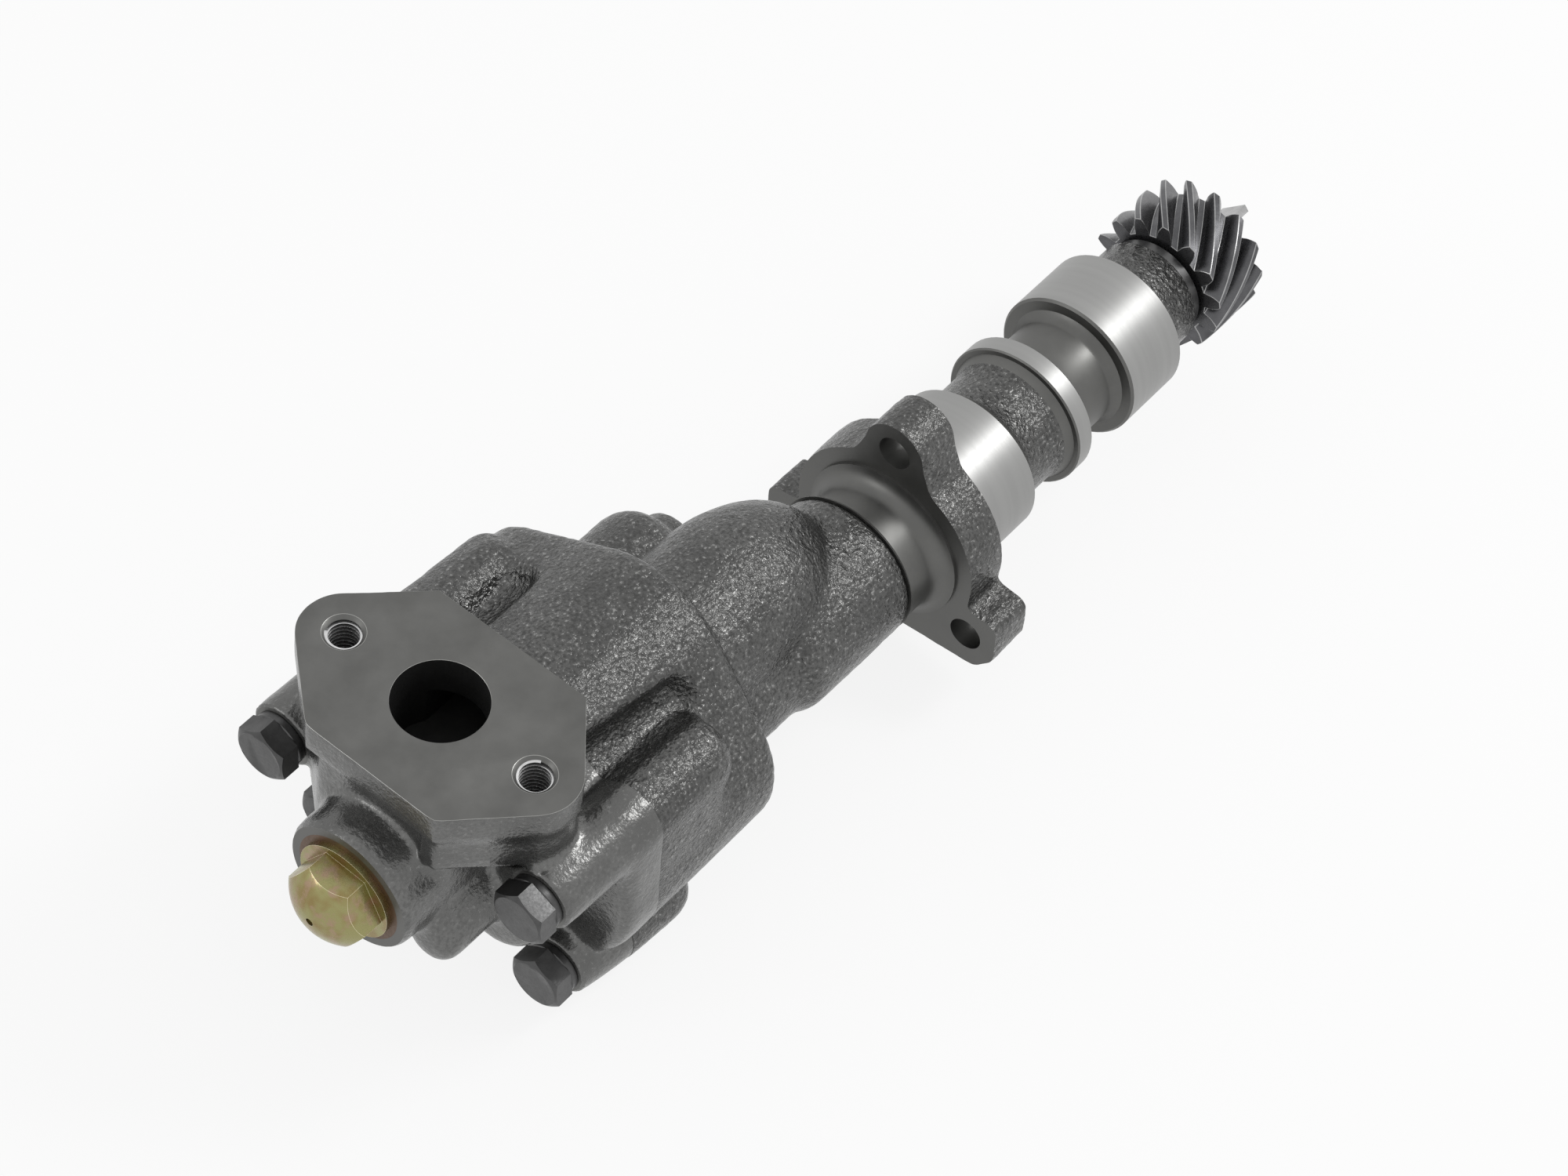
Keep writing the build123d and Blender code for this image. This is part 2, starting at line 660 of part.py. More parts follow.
def helical_gear():
    """Left-hand helical gear with a short hub towards the thrust washer."""
    transverse = helical_module / cos(radians(helix_angle))
    pitch = transverse * helical_teeth / 2
    tip = pitch + helical_module
    root = pitch - 1.25 * helical_module
    pressure = atan(tan(radians(20)) / cos(radians(helix_angle)))
    twist = degrees(helical_width * tan(radians(helix_angle)) / pitch)
    base = pitch * cos(pressure)
    half = pi / (2 * helical_teeth) + tan(pressure) - pressure
    flank = []
    for i in range(4):
        radius = base + (tip - base) * i / 3
        roll = acos(min(1.0, base / radius))
        angle = half - (tan(roll) - roll)
        flank.append((radius * cos(angle), radius * sin(angle)))
    inner = root - 1.5
    with BuildSketch() as tooth:
        with BuildLine():
            upper = Spline(*flank)
            lower = Spline(*[(x, -y) for x, y in flank])
            Line(upper @ 1, lower @ 1)
            Polyline(upper @ 0, (inner, flank[0][1]), (inner, -flank[0][1]), lower @ 0)
        make_face()
    solid = rod(helical_x, helical_end_x, root)
    solid += rod(helical_hub_x, helical_end_x, helical_hub_radius)
    face = section(helical_x) * (Rot(0, 0, helical_phase) * tooth.sketch)
    first = Solid.extrude_linear_with_rotation(face.face(), center=(helical_x, 0, 0),
                                               normal=(helical_width, 0, 0), angle=-twist)
    for index in range(helical_teeth):
        solid += Rot(360 * index / helical_teeth, 0, 0) * first
    solid -= rod(helical_hub_x - 1, helical_end_x + 1, shaft_radius)
    return solid - helical_key_space(shaft_radius - helical_key_depth + helical_key_width)


def pump_gear():
    """Spur pump gear about the shaft axis, without its bore."""
    outline = gear_outline(gear_teeth, gear_pitch_radius, gear_tip_radius,
                           gear_pitch_radius - gear_dedendum * gear_module,
                           radians(gear_pressure_angle), gear_backlash)
    return along(joint_x + side_gap, pocket_end_x - side_gap, outline)


def drive_pump_gear():
    solid = pump_gear() - rod(joint_x, pocket_end_x, shaft_radius)
    return solid - gear_key_space(shaft_radius - key_depth_in_shaft + key_height)


def driven_pump_gear():
    """Idler gear, turned half a tooth so that the pair is in mesh."""
    solid = Rot(180 / gear_teeth, 0, 0) * pump_gear()
    solid -= rod(joint_x, pocket_end_x, idler_shaft_radius + idler_bush_wall)
    return Pos(0, centre_distance, 0) * solid


def idler_bush():
    outer = idler_shaft_radius + idler_bush_wall
    ring = Circle(outer) - Circle(idler_shaft_radius + running_gap)
    return along(joint_x + side_gap, pocket_end_x - side_gap, Pos(centre_distance, 0) * ring)


def idler_shaft():
    solid = rod(joint_x + side_gap, idler_shaft_end_x, idler_shaft_radius, centre_distance, 0)
    return chamfer(solid.faces().filter_by(GeomType.PLANE).edges(), 0.6)


def shaft_bush(x0):
    return along(x0, x0 + bush_length, Circle(bush_radius) - Circle(shaft_radius + running_gap))


def cover_bush():
    x0 = joint_x - bush_length + shaft_end_gap / 2
    ring = Circle(bush_radius) - Circle(shaft_radius + running_gap)
    return along(x0, joint_x - side_gap, ring)


def thrust_washer():
    ring = Circle(thrust_washer_radius) - Circle(shaft_radius + 0.3)
    return along(neck_end_x, neck_end_x + thrust_washer_thickness, ring)


def relief_piston():
    """Cup-shaped piston, closed towards the delivery side."""
    rear = relief_bore_end_x
    outer = relief_bore_radius - piston_gap
    solid = rod(rear - piston_length, rear, outer, relief_y, relief_z)
    solid = chamfer(solid.faces().filter_by(GeomType.PLANE).sort_by(Axis.X)[-1].edges(), 1.0)
    return solid - rod(rear - piston_length - 1, rear - 4, outer - piston_wall, relief_y, relief_z)


def relief_spring():
    """Coil spring between the plug and the piston's floor."""
    start = relief_front_x + plug_thread_length + spring_wire_radius + 0.1
    length = relief_bore_end_x - 4 - spring_wire_radius - 0.1 - start
    helix = Helix(pitch=length / spring_turns, height=length, radius=spring_coil_radius,
                  center=(start, relief_y, relief_z), direction=(1, 0, 0))
    profile = Plane(origin=helix @ 0, z_dir=helix % 0) * Circle(spring_wire_radius)
    return sweep(profile, path=helix)


def hexagon_head(x0, x1, across_flats, bevel, slope, turn):
    """Hexagon head whose corners are bevelled at the front by a cone of the given slope."""
    hexagon = RegularPolygon(across_flats / 2, 6, major_radius=False, rotation=turn)
    corner = across_flats / 2 / cos(radians(30))
    height = x1 - x0 + 1
    cone = Cone(corner - bevel, corner - bevel + height * slope, height, rotation=(0, 90, 0),
                align=(Align.CENTER, Align.CENTER, Align.MIN))
    return along(x0, x1, hexagon) & (Pos(x0, 0, 0) * cone)


def relief_plug():
    """Hexagon plug with a flange and a domed head with a centre mark."""
    apex = relief_front_x - plug_head_height
    solid = rod(relief_front_x, relief_front_x + plug_thread_length, plug_thread_radius - thread_gap)
    solid += rod(relief_front_x - plug_flange_thickness, relief_front_x, plug_flange_radius)
    hexagon = RegularPolygon(plug_across_flats / 2, 6, major_radius=False, rotation=plug_turn)
    head = along(apex, relief_front_x - plug_flange_thickness, hexagon)
    solid += head & (Pos(apex + plug_dome_radius, 0, 0) * Sphere(plug_dome_radius))
    solid -= rod(apex - 1, apex + 1, 1.0)
    return Pos(0, relief_y, relief_z) * solid


def plug_seal_ring():
    ring = Circle(seal_ring_radius) - Circle(plug_thread_radius)
    return along(relief_front_x, relief_front_x + seal_ring_thickness, Pos(relief_y, relief_z) * ring)


def cover_bolt(y, z, seat, length, turn):
    """Hexagon bolt whose head stands on its spring washer."""
    under = seat - washer_thickness
    solid = hexagon_head(under - bolt_head_height, under, bolt_across_flats, bolt_bevel, sqrt(3), turn)
    shank = rod(under, under + length, bolt_radius - thread_gap)
    shank = chamfer(shank.faces().filter_by(GeomType.PLANE).sort_by(Axis.X)[-1].edges(), 0.8)
    return Pos(0, y, z) * (solid + shank)


def bolt_group(bolts, length):
    solids = []
    for index, (y, z, seat) in enumerate(bolts):
        solids.append(cover_bolt(y, z, seat, length, 12 + 17 * index))
    return Compound(children=solids)


def spring_washers():
    ring = Circle(washer_radius) - Circle(bolt_radius + 0.2)
    slit = Pos(washer_radius, 0) * Rectangle(2 * washer_radius, washer_split)
    solids = []
    for index, (y, z, seat) in enumerate(all_bolts):
        split = Rot(0, 0, 200 + 70 * index) * (ring - slit)
        solids.append(Pos(0, y, z) * along(seat - washer_thickness, seat, split))
    return Compound(children=solids)


def dowel_sleeves():
    ring = Circle(dowel_radius) - Circle(bolt_hole_radius)
    solids = []
    for y, z, _ in dowel_places():
        half = dowel_length / 2 - 0.2
        solids.append(Pos(0, y, z) * along(joint_x - half, joint_x + half, ring))
    return Compound(children=solids)


nodes = {
    "pump_housing": pump_housing(),
    "pump_cover": pump_cover(),
    "drive_shaft": drive_shaft(),
    "helical_gear": helical_gear(),
    "helical_gear_key": helical_gear_key(),
    "shaft_circlip": shaft_circlip(),
    "thrust_washer": thrust_washer(),
    "upper_neck_bush": shaft_bush(neck_end_x - bush_length),
    "lower_neck_bush": shaft_bush(pocket_end_x),
    "cover_bush": cover_bush(),
    "drive_pump_gear": drive_pump_gear(),
    "gear_key": gear_key(),
    "driven_pump_gear": driven_pump_gear(),
    "idler_bush": idler_bush(),
    "idler_shaft": idler_shaft(),
    "relief_piston": relief_piston(),
    "relief_spring": relief_spring(),
    "relief_plug": relief_plug(),
    "plug_seal_ring": plug_seal_ring(),
    "long_cover_bolts": bolt_group(long_bolts, long_bolt_length),
    "short_cover_bolts": bolt_group(short_bolts, short_bolt_length),
    "spring_washers": spring_washers(),
    "dowel_sleeves": dowel_sleeves(),
}

os.makedirs("parts", exist_ok=True)
for name, shape in nodes.items():
    export_step(shape, f"parts/{name}.step")
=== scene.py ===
from contextlib import contextmanager
from math import acos, atan, cos, hypot, pi, radians, sin, sqrt, tan

import bmesh
import bpy
import numpy as np
from bpy.props import FloatProperty, FloatVectorProperty, IntProperty, PointerProperty
from mathutils import Matrix, Vector, noise


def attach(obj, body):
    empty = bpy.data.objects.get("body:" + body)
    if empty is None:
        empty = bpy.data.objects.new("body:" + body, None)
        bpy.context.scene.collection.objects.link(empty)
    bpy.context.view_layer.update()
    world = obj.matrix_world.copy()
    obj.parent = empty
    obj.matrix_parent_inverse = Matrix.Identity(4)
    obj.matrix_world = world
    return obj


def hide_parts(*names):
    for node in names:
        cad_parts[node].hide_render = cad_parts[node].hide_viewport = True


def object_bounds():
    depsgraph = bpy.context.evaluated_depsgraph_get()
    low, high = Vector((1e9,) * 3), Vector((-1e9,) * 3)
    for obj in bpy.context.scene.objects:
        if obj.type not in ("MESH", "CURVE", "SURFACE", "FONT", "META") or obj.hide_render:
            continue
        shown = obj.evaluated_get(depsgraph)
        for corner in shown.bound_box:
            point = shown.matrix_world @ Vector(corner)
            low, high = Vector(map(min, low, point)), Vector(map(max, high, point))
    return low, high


bl_info = {
    "name": "Engine oil pump",
    "version": (1, 0, 0),
    "blender": (4, 5, 0),
    "location": "View3D > Sidebar > Oil pump",
    "description": "Sand castings, ground journals, helical gear, bolts and relief plug",
    "category": "Object",
}

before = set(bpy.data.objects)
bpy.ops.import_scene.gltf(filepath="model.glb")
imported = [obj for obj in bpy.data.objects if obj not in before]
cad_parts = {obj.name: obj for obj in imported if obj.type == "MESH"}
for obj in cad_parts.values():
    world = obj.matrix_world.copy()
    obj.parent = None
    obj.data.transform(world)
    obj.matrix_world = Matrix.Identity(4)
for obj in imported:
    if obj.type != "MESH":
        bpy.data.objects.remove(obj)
cad_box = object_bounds()

# Places on the pump in millimetres, as in the part's source
joint_x = -126.7
shoulder_x = -24.5
relief_front_x = -179.7
relief_axis = (17.5, 19.0)
inlet_height = 52.0
inlet_centre = (-148.5, 20.8)
inlet_screws = [(-149.0, -6.2), (-149.0, 47.8)]
thread_radius = 4.0
long_bolts = [(52.5, 23.5, -162.7), (-16.0, 23.5, -156.7)]
short_bolts = [(-11.3, -24.9, -141.7), (52.6, -23.5, -141.7)]
all_bolts = long_bolts + short_bolts
dowelled_bolts = (long_bolts[1], short_bolts[1])
long_bolt_length = 50.0
short_bolt_length = 30.0
head_space_radius = 7.9
washer_radius = 6.8
flange_rear_x = -12.0
flange_core_radius = 20.6
mount_circle_radius = 30.0
mount_turn = radians(-3.0)
hub_start_x = 98.9
hub_radius = 11.5
gear_start_x = 99.9
gear_width = 18.8
gear_phase = radians(8.7)

# Finishes of the neck: ground bands as (start, end, radius), the borders of the rough ones along
# the shaft, and the ground rim at its end
journals = [(2.1, 21.0, 20.0), (40.0, 44.7, 19.6), (62.1, 81.6, 19.8)]
finish_borders = (24.0, 37.4, 82.6, 96.4)
rough_neck_least_radius = 14.0
flange_side_least_radius = 21.6
end_rim_x = 95.8

# Plugs that fill a casting's hollows while its skin is made, a little wider than the hollows:
# round ones as (start, end, radius), and past a machined face by the overrun
overrun = 3.0
gear_space_end_x = -90.0
gear_spaces = [(0, 0, 22.8), (36, 0, 23.0)]
chamber_roof = (14.0, 19.0, 20.6)
chamber_roof_turns = [radians(45 + 13 * step) for step in range(6)]
chamber_feet = [(7.2, 10, 1), (28.8, 10, 1)]
bores_x = gear_space_end_x - overrun
body_plugs = {"drive shaft": ((bores_x, 0, 0), (shoulder_x + 4, 0, 0), 12.9),
              "delivery": ((bores_x, 13, -12), (-54.5, 13, -12), 6.9),
              "gallery": ((-61.5, 0, 0), (-61.5, 13, -12), 5.6),
              "idler shaft": ((bores_x, 36, 0), (-58.3, 36, 0), 9.2)}
cover_plugs = {"inlet": ((*inlet_centre, 28.6), (*inlet_centre, inlet_height + 4), 12.2, 96),
               "relief valve": ((relief_front_x - 4, *relief_axis), (-131.6, *relief_axis),
                                15.2, 96),
               "feed along": ((-133, 18, -13.5), (joint_x + overrun, 18, -13.5), 4.6),
               "feed up": ((-131.9, 18, -15), (-131.9, 18, 19), 4.6),
               "shaft bush": ((joint_x - 21.2, 0, 0), (joint_x + overrun, 0, 0), 11.4)}
inlet_chamber = ((inlet_centre[0], 8.8, 28.8), (joint_x + overrun, 30.8, 42.2))
screw_plug_radius, screw_plug_depth = 5.2, 17.0
body_bolt_plug_radius, body_bolt_plug_extra = 5.1, 1.9
cover_bolt_plug_radius = 5.5
dowel_plug_radius, dowel_plug_depth = 6.5, 6.0
gear_plug = ((hub_start_x - 2, 0, 0), (125, 0, 0), 10.4, 96)

# Hull of two balls, cut out beside the long bolt's boss below the inlet plate
wide_valley = [((-131.0, -7.0, 35.8), 6.4), ((-101.5, -8.4, 33.6), 5.0)]
plate_underside = 41.8

# Turns of the fasteners in degrees, as they were left when tightened
plug_turn = 28
head_turns = {"long_cover_bolts": (56, 54), "short_cover_bolts": (52, 59)}
washer_turns = (290, 360, 430, 500)
thread_turns = (0.4, 2.1)
thread_top_depth = 0.7
countersink_depth = 1.1

# A casting's finishes, by their places in its list of materials
# EDGE_HIGHLIGHT's material is a painted highlight for the broken rims of machined faces
CAST, CUT, GROUND, EDGE_HIGHLIGHT, HOLLOW_SHADE, FINE_CAST = range(6)
# HOLLOW_SHADE's material is painted shade in the cover's hollows
finish_names = ("cast_iron", "cut_iron", "ground_iron", "painted_edge_highlight", "painted_hollow_shade",
                "fine_cast_iron")


# Meshes in millimetres

def part_solid(name):
    """Closed copy of a CAD node's mesh, in millimetres."""
    solid = bmesh.new()
    solid.from_mesh(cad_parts[name].data)
    bmesh.ops.scale(solid, vec=(1000, 1000, 1000), verts=solid.verts)
    bmesh.ops.remove_doubles(solid, verts=solid.verts, dist=0.002)
    return solid


@contextmanager
def editing(mesh):
    """The mesh as a bmesh, written back at the end."""
    shape = bmesh.new()
    shape.from_mesh(mesh)
    yield shape
    shape.to_mesh(mesh)
    shape.free()


def cylinder(start, end, radius, sides=64):
    """Closed cylinder between two points."""
    start = Vector(start)
    axis = Vector(end) - start
    solid = bmesh.new()
    bmesh.ops.create_cone(solid, cap_ends=True, segments=sides, radius1=radius, radius2=radius,
                          depth=axis.length)
    turn = axis.to_track_quat("Z", "Y").to_matrix().to_4x4()
    placed = Matrix.Translation(start + axis / 2) @ turn
    bmesh.ops.transform(solid, matrix=placed, verts=solid.verts)
    return solid


def block(low, high):
    """Closed box between two corners."""
    solid = bmesh.new()
    bmesh.ops.create_cube(solid, size=1)
    middle = [(a + b) / 2 for a, b in zip(low, high)]
    size = [b - a for a, b in zip(low, high)]
    bmesh.ops.scale(solid, vec=size, verts=solid.verts)
    bmesh.ops.translate(solid, vec=middle, verts=solid.verts)
    return solid


def slab(start, end, reach=100):
    """Box across the shaft, from one place along it to another."""
    return block((start, -reach, -reach), (end, reach, reach))


def wrap(solid):
    """Closes the points of a bmesh into their convex hull."""
    bmesh.ops.convex_hull(solid, input=solid.verts)
    loose = [v for v in solid.verts if not v.link_faces]
    bmesh.ops.delete(solid, geom=loose, context="VERTS")


def hull(x0, x1, circles, sides=48):
    """Convex solid along X round circles given as (y, z, radius)."""
    solid = bmesh.new()
    for x in (x0, x1):
        for y, z, radius in circles:
            for step in range(sides):
                turn = 2 * pi * step / sides
                solid.verts.new((x, y + radius * cos(turn), z + radius * sin(turn)))
    wrap(solid)
    bmesh.ops.dissolve_limit(solid, angle_limit=0.002, verts=solid.verts, edges=solid.edges)
    return solid


def new_object(name, data):
    obj = bpy.data.objects.new(name, data)
    bpy.context.scene.collection.objects.link(obj)
    return obj


def place(solid, name, finish=CUT):
    """Object of a bmesh, with the castings' finishes."""
    bmesh.ops.recalc_face_normals(solid, faces=solid.faces)
    for face in solid.faces:
        face.material_index = finish
    mesh = bpy.data.meshes.new(name)
    solid.to_mesh(mesh)
    solid.free()
    for finish_name in finish_names:
        known = bpy.data.materials.get(finish_name)
        mesh.materials.append(known or bpy.data.materials.new(finish_name))
    return new_object(name, mesh)


def settle(obj):
    """Makes the object's modifiers final."""
    bpy.context.view_layer.update()
    graph = bpy.context.evaluated_depsgraph_get()
    mesh = bpy.data.meshes.new_from_object(obj.evaluated_get(graph), depsgraph=graph)
    obj.modifiers.clear()
    obj.data = mesh


def combine(obj, tool, operation):
    """Cuts the object with a closed tool, joins them or keeps what they share."""
    modifier = obj.modifiers.new("combine", "BOOLEAN")
    modifier.operation = operation
    modifier.solver = "MANIFOLD"
    modifier.object = tool
    settle(obj)
    bpy.data.objects.remove(tool)
    if not obj.data.polygons:
        raise RuntimeError(f"nothing is left of {obj.name}")


def cut(obj, solid):
    """Cuts a bmesh out of the object."""
    combine(obj, place(solid, "cut"), "DIFFERENCE")


def table_of(items, key, width, kind=np.float32):
    """Numbers of a mesh's vertices, normals or edges, one row for each."""
    numbers = np.empty(len(items) * width, kind)
    items.foreach_get(key, numbers)
    return numbers.reshape(-1, width)


def normals_of(mesh):
    return table_of(mesh.vertex_normals, "vector", 3).astype(float)


def store_vertices(mesh, places):
    mesh.vertices.foreach_set("co", places.astype(np.float32).ravel())
    mesh.update()


def cast_skin(obj, sizes, passes, rounding, unevenness=1.0):
    """Turns a solid into the skin of a sand casting.

    Inner corners are filled, edges a little rounded and walls uneven.
    """
    remesh = obj.modifiers.new("skin", "REMESH")
    remesh.mode = "VOXEL"
    remesh.voxel_size = sizes.skin_step
    settle(obj)
    mesh = obj.data
    start = table_of(mesh.vertices, "co", 3).astype(float)
    normals = normals_of(mesh)
    ends = table_of(mesh.edges, "vertices", 2, np.int32)
    neighbours = np.bincount(ends.ravel(), minlength=len(start))[:, None]
    places = start.copy()
    for _ in range(passes):
        total = np.zeros_like(places)
        for axis in range(3):
            for one, other in ((0, 1), (1, 0)):
                total[:, axis] += np.bincount(ends[:, one], places[ends[:, other], axis],
                                              len(start))
        places = 0.5 * places + 0.5 * total / neighbours
        inward = np.einsum("ij,ij->i", places - start, normals)
        excess = np.minimum(inward + rounding, 0)
        places -= excess[:, None] * normals
    store_vertices(mesh, places)
    normals = normals_of(mesh)
    lumps = np.array([noise.noise(Vector(p) / sizes.lump_width) for p in places])
    grain = np.array([noise.noise(Vector(p) / sizes.grain_width) for p in places])
    raised = unevenness * (sizes.lump_height * lumps + sizes.grain_height * grain)
    store_vertices(mesh, places + raised[:, None] * normals)


def add_solids(obj, solids):
    """Puts closed bmeshes into the object's mesh, to be one solid after the remesh."""
    with editing(obj.data) as whole:
        for solid in solids:
            bmesh.ops.recalc_face_normals(solid, faces=solid.faces)
            mesh = bpy.data.meshes.new("plug")
            solid.to_mesh(mesh)
            whole.from_mesh(mesh)
            bpy.data.meshes.remove(mesh)


def scoop(obj, balls):
    """Cuts the hull of a few balls, given as (place, radius), out of the object."""
    groove = bmesh.new()
    for centre, radius in balls:
        bmesh.ops.create_uvsphere(groove, u_segments=48, v_segments=24, radius=radius,
                                  matrix=Matrix.Translation(centre))
    bmesh.ops.delete(groove, geom=groove.edges[:] + groove.faces[:], context="EDGES_FACES")
    wrap(groove)
    tool = place(groove, "groove")
    cut(tool, block((-200, -100, plate_underside), (0, 100, 100)))
    combine(obj, tool, "DIFFERENCE")


def stock(solid, test, move):
    """Moves the vertices that pass the test, as extra metal on a face that is cut later."""
    for vertex in solid.verts:
        if test(vertex.co):
            vertex.co += Vector(move)


def stock_across(solid, x, extra):
    """Extra metal on the face that lies across the shaft at x."""
    stock(solid, lambda at: abs(at.x - x) < 0.01, (extra, 0, 0))


def housing_hollows():
    """Plugs that enclose every hollow of the pump body and lie inside its outer skin."""
    front = joint_x - overrun
    y, z, radius = chamber_roof
    roof = [(y + radius * cos(turn), z + radius * sin(turn), 0.9) for turn in chamber_roof_turns]
    solids = [hull(front, gear_space_end_x, circles)
              for circles in (gear_spaces, roof + chamber_feet)]
    solids += [cylinder(*plug) for plug in body_plugs.values()]
    lengths = [long_bolt_length] * 2 + [short_bolt_length] * 2
    for (y, z, seat), length in zip(all_bolts, lengths):
        end = seat + length + body_bolt_plug_extra
        solids.append(cylinder((front, y, z), (end, y, z), body_bolt_plug_radius))
    for y, z, _ in dowelled_bolts:
        end = joint_x + dowel_plug_depth
        solids.append(cylinder((front, y, z), (end, y, z), dowel_plug_radius))
    return solids


def cover_hollows():
    """Plugs that enclose every hollow of the cover and lie inside its outer skin."""
    rear = joint_x + overrun
    inlet, *others = [cylinder(*plug) for plug in cover_plugs.values()]
    solids = [inlet, block(*inlet_chamber), *others]
    for x, y in inlet_screws:
        solids.append(cylinder((x, y, inlet_height - screw_plug_depth), (x, y, inlet_height + 4),
                               screw_plug_radius))
    for y, z, seat in all_bolts:
        solids.append(cylinder((seat - 2, y, z), (rear, y, z), cover_bolt_plug_radius))
    for y, z, _ in dowelled_bolts:
        solids.append(cylinder((joint_x - dowel_plug_depth, y, z), (rear, y, z), dowel_plug_radius))
    return solids


def carve_hollows(obj, part, hollows, rule=None):
    """Cuts the CAD node's own hollows into the skin, with finishes by the rule."""
    space, *others = [place(solid, "hollow") for solid in hollows]
    for other in others:
        combine(space, other, "UNION")
    cut(space, part_solid(part))
    if rule:
        repaint(space.data, rule)
    combine(obj, space, "DIFFERENCE")


def sharpen(mesh, limit=radians(28)):
    """Smooth shading, with the edges of machined faces kept sharp."""
    with editing(mesh) as shape:
        for face in shape.faces:
            face.smooth = True
        for edge in shape.edges:
            machined = any(face.material_index not in (CAST, FINE_CAST) for face in edge.link_faces)
            turn = edge.calc_face_angle(0)
            edge.smooth = not ((machined and turn > limit) or turn > 3 * limit)


def finish_piece(obj, name, part, body):
    """Takes a piece from millimetres to the frame's metres and says what it is."""
    obj.data.transform(Matrix.Scale(0.001, 4))
    obj.name = name
    obj.data.name = name
    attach(obj, body)
    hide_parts(part)


def repaint(mesh, rule):
    """Gives each face the finish that the rule says for its centre and normal, if any."""
    for face in mesh.polygons:
        finish = rule(face.center, face.normal)
        if finish is not None:
            face.material_index = finish


def cover_hollow_shade(centre, normal):
    """Painted shade: the inlet chamber and the screw holes are painted dark below their mouths."""
    if centre.z >= inlet_height - 0.8:
        return None
    x, y = inlet_centre
    if x - 12 < centre.x < joint_x + 1 and abs(centre.y - y) < 12 and centre.z > 28:
        return HOLLOW_SHADE
    for x, y in inlet_screws:
        if hypot(centre.x - x, centre.y - y) < thread_radius + 0.1:
            return HOLLOW_SHADE
    return None


def slice_across(mesh, places):
    """Adds edges where planes across X meet the mesh."""
    with editing(mesh) as shape:
        for x in places:
            everything = shape.verts[:] + shape.edges[:] + shape.faces[:]
            bmesh.ops.bisect_plane(shape, geom=everything, dist=0.001, plane_co=(x, 0, 0),
                                   plane_no=(1, 0, 0))


def neck_finish(centre, normal):
    """Finish of the pump body's machined end, from behind the flange to the neck's end."""
    x = centre.x
    radius = hypot(centre.y, centre.z)
    across = abs(normal.x) < 0.3
    outward = centre.y * normal.y + centre.z * normal.z > 0
    for start, end, size in journals:
        if start - 0.1 < x < end + 0.1 and across and outward and abs(radius - size) < 0.1:
            return GROUND
    if x > end_rim_x and outward:
        return GROUND
    if not outward:
        return CUT
    if flange_rear_x - 0.3 < x < 0.3 and across and radius > flange_side_least_radius:
        return CAST
    for start, end in zip(finish_borders[::2], finish_borders[1::2]):
        if start < x < end and radius > rough_neck_least_radius:
            return CAST
    return None


# Materials

def empty_tree(owner):
    """The emptied node tree of a material or a world."""
    owner.use_nodes = True
    owner.node_tree.nodes.clear()
    return owner.node_tree


def feed(tree, socket, value):
    """Sets a socket, or links another one to it."""
    if isinstance(value, bpy.types.NodeSocket):
        tree.links.new(value, socket)
    else:
        socket.default_value = value


def node(tree, kind, settings=(), **values):
    """Shader node with its settings, and its sockets set by name or linked."""
    made = tree.nodes.new("ShaderNode" + kind)
    for key, value in dict(settings).items():
        setattr(made, key, value)
    for key, value in values.items():
        feed(tree, made.inputs[key.replace("_", " ")], value)
    return made


def spread(tree, value, low, high, to_low, to_high):
    """Value taken from one range to another and held inside it."""
    return node(tree, "MapRange", Value=value, From_Min=low, From_Max=high, To_Min=to_low,
                To_Max=to_high).outputs["Result"]


def tinted(colour, factor):
    return tuple(channel * factor for channel in colour[:3])


class Paint:
    """Metal in the making, fed by noise on Object coordinates in millimetres."""

    def __init__(self, name, *share):
        material = bpy.data.materials.get(name) or bpy.data.materials.new(name)
        self.tree = empty_tree(material)
        self.shader = node(self.tree, "BsdfPrincipled")
        node(self.tree, "OutputMaterial", Surface=self.shader.outputs["BSDF"])
        self.stretch(*(share or (1, 1, 1)))

    def stretch(self, *share):
        """Noise made from here on is scaled by these shares along the axes."""
        coordinates = node(self.tree, "TexCoord").outputs["Object"]
        self.where = node(self.tree, "Mapping", Vector=coordinates,
                          Scale=tuple(1000 * s for s in share)).outputs["Vector"]

    def noise(self, scale, detail, roughness=0.6):
        return node(self.tree, "TexNoise", Vector=self.where, Scale=scale, Detail=detail,
                    Roughness=roughness).outputs["Fac"]

    def mixed(self, height, low, high, first, second, most=1):
        """The first colour where the height is low, most of the second where it is high."""
        mix = node(self.tree, "Mix", {"data_type": "RGBA"})
        feed(self.tree, mix.inputs["Factor"], spread(self.tree, height, low, high, 0, most))
        for socket, colour in ((mix.inputs[6], first), (mix.inputs[7], second)):
            linked = isinstance(colour, bpy.types.NodeSocket)
            feed(self.tree, socket, colour if linked else (*colour[:3], 1))
        return mix.outputs[2]

    def finish(self, colour, metallic, gloss, layers):
        """Ends the shader, with roughness as (height, least, most) and bumps one on another, each
        as (height, strength, depth in millimetres)."""
        height, least, most = gloss
        values = {"Base Color": colour, "Metallic": metallic,
                  "Roughness": spread(self.tree, height, 0.3, 0.7, least, most)}
        for height, strength, depth in layers:
            bump = node(self.tree, "Bump", Height=height, Strength=strength, Distance=depth / 1000)
            if "Normal" in values:
                feed(self.tree, bump.inputs["Normal"], values["Normal"])
            values["Normal"] = bump.outputs["Normal"]
        for key, value in values.items():
            feed(self.tree, self.shader.inputs[key], value)


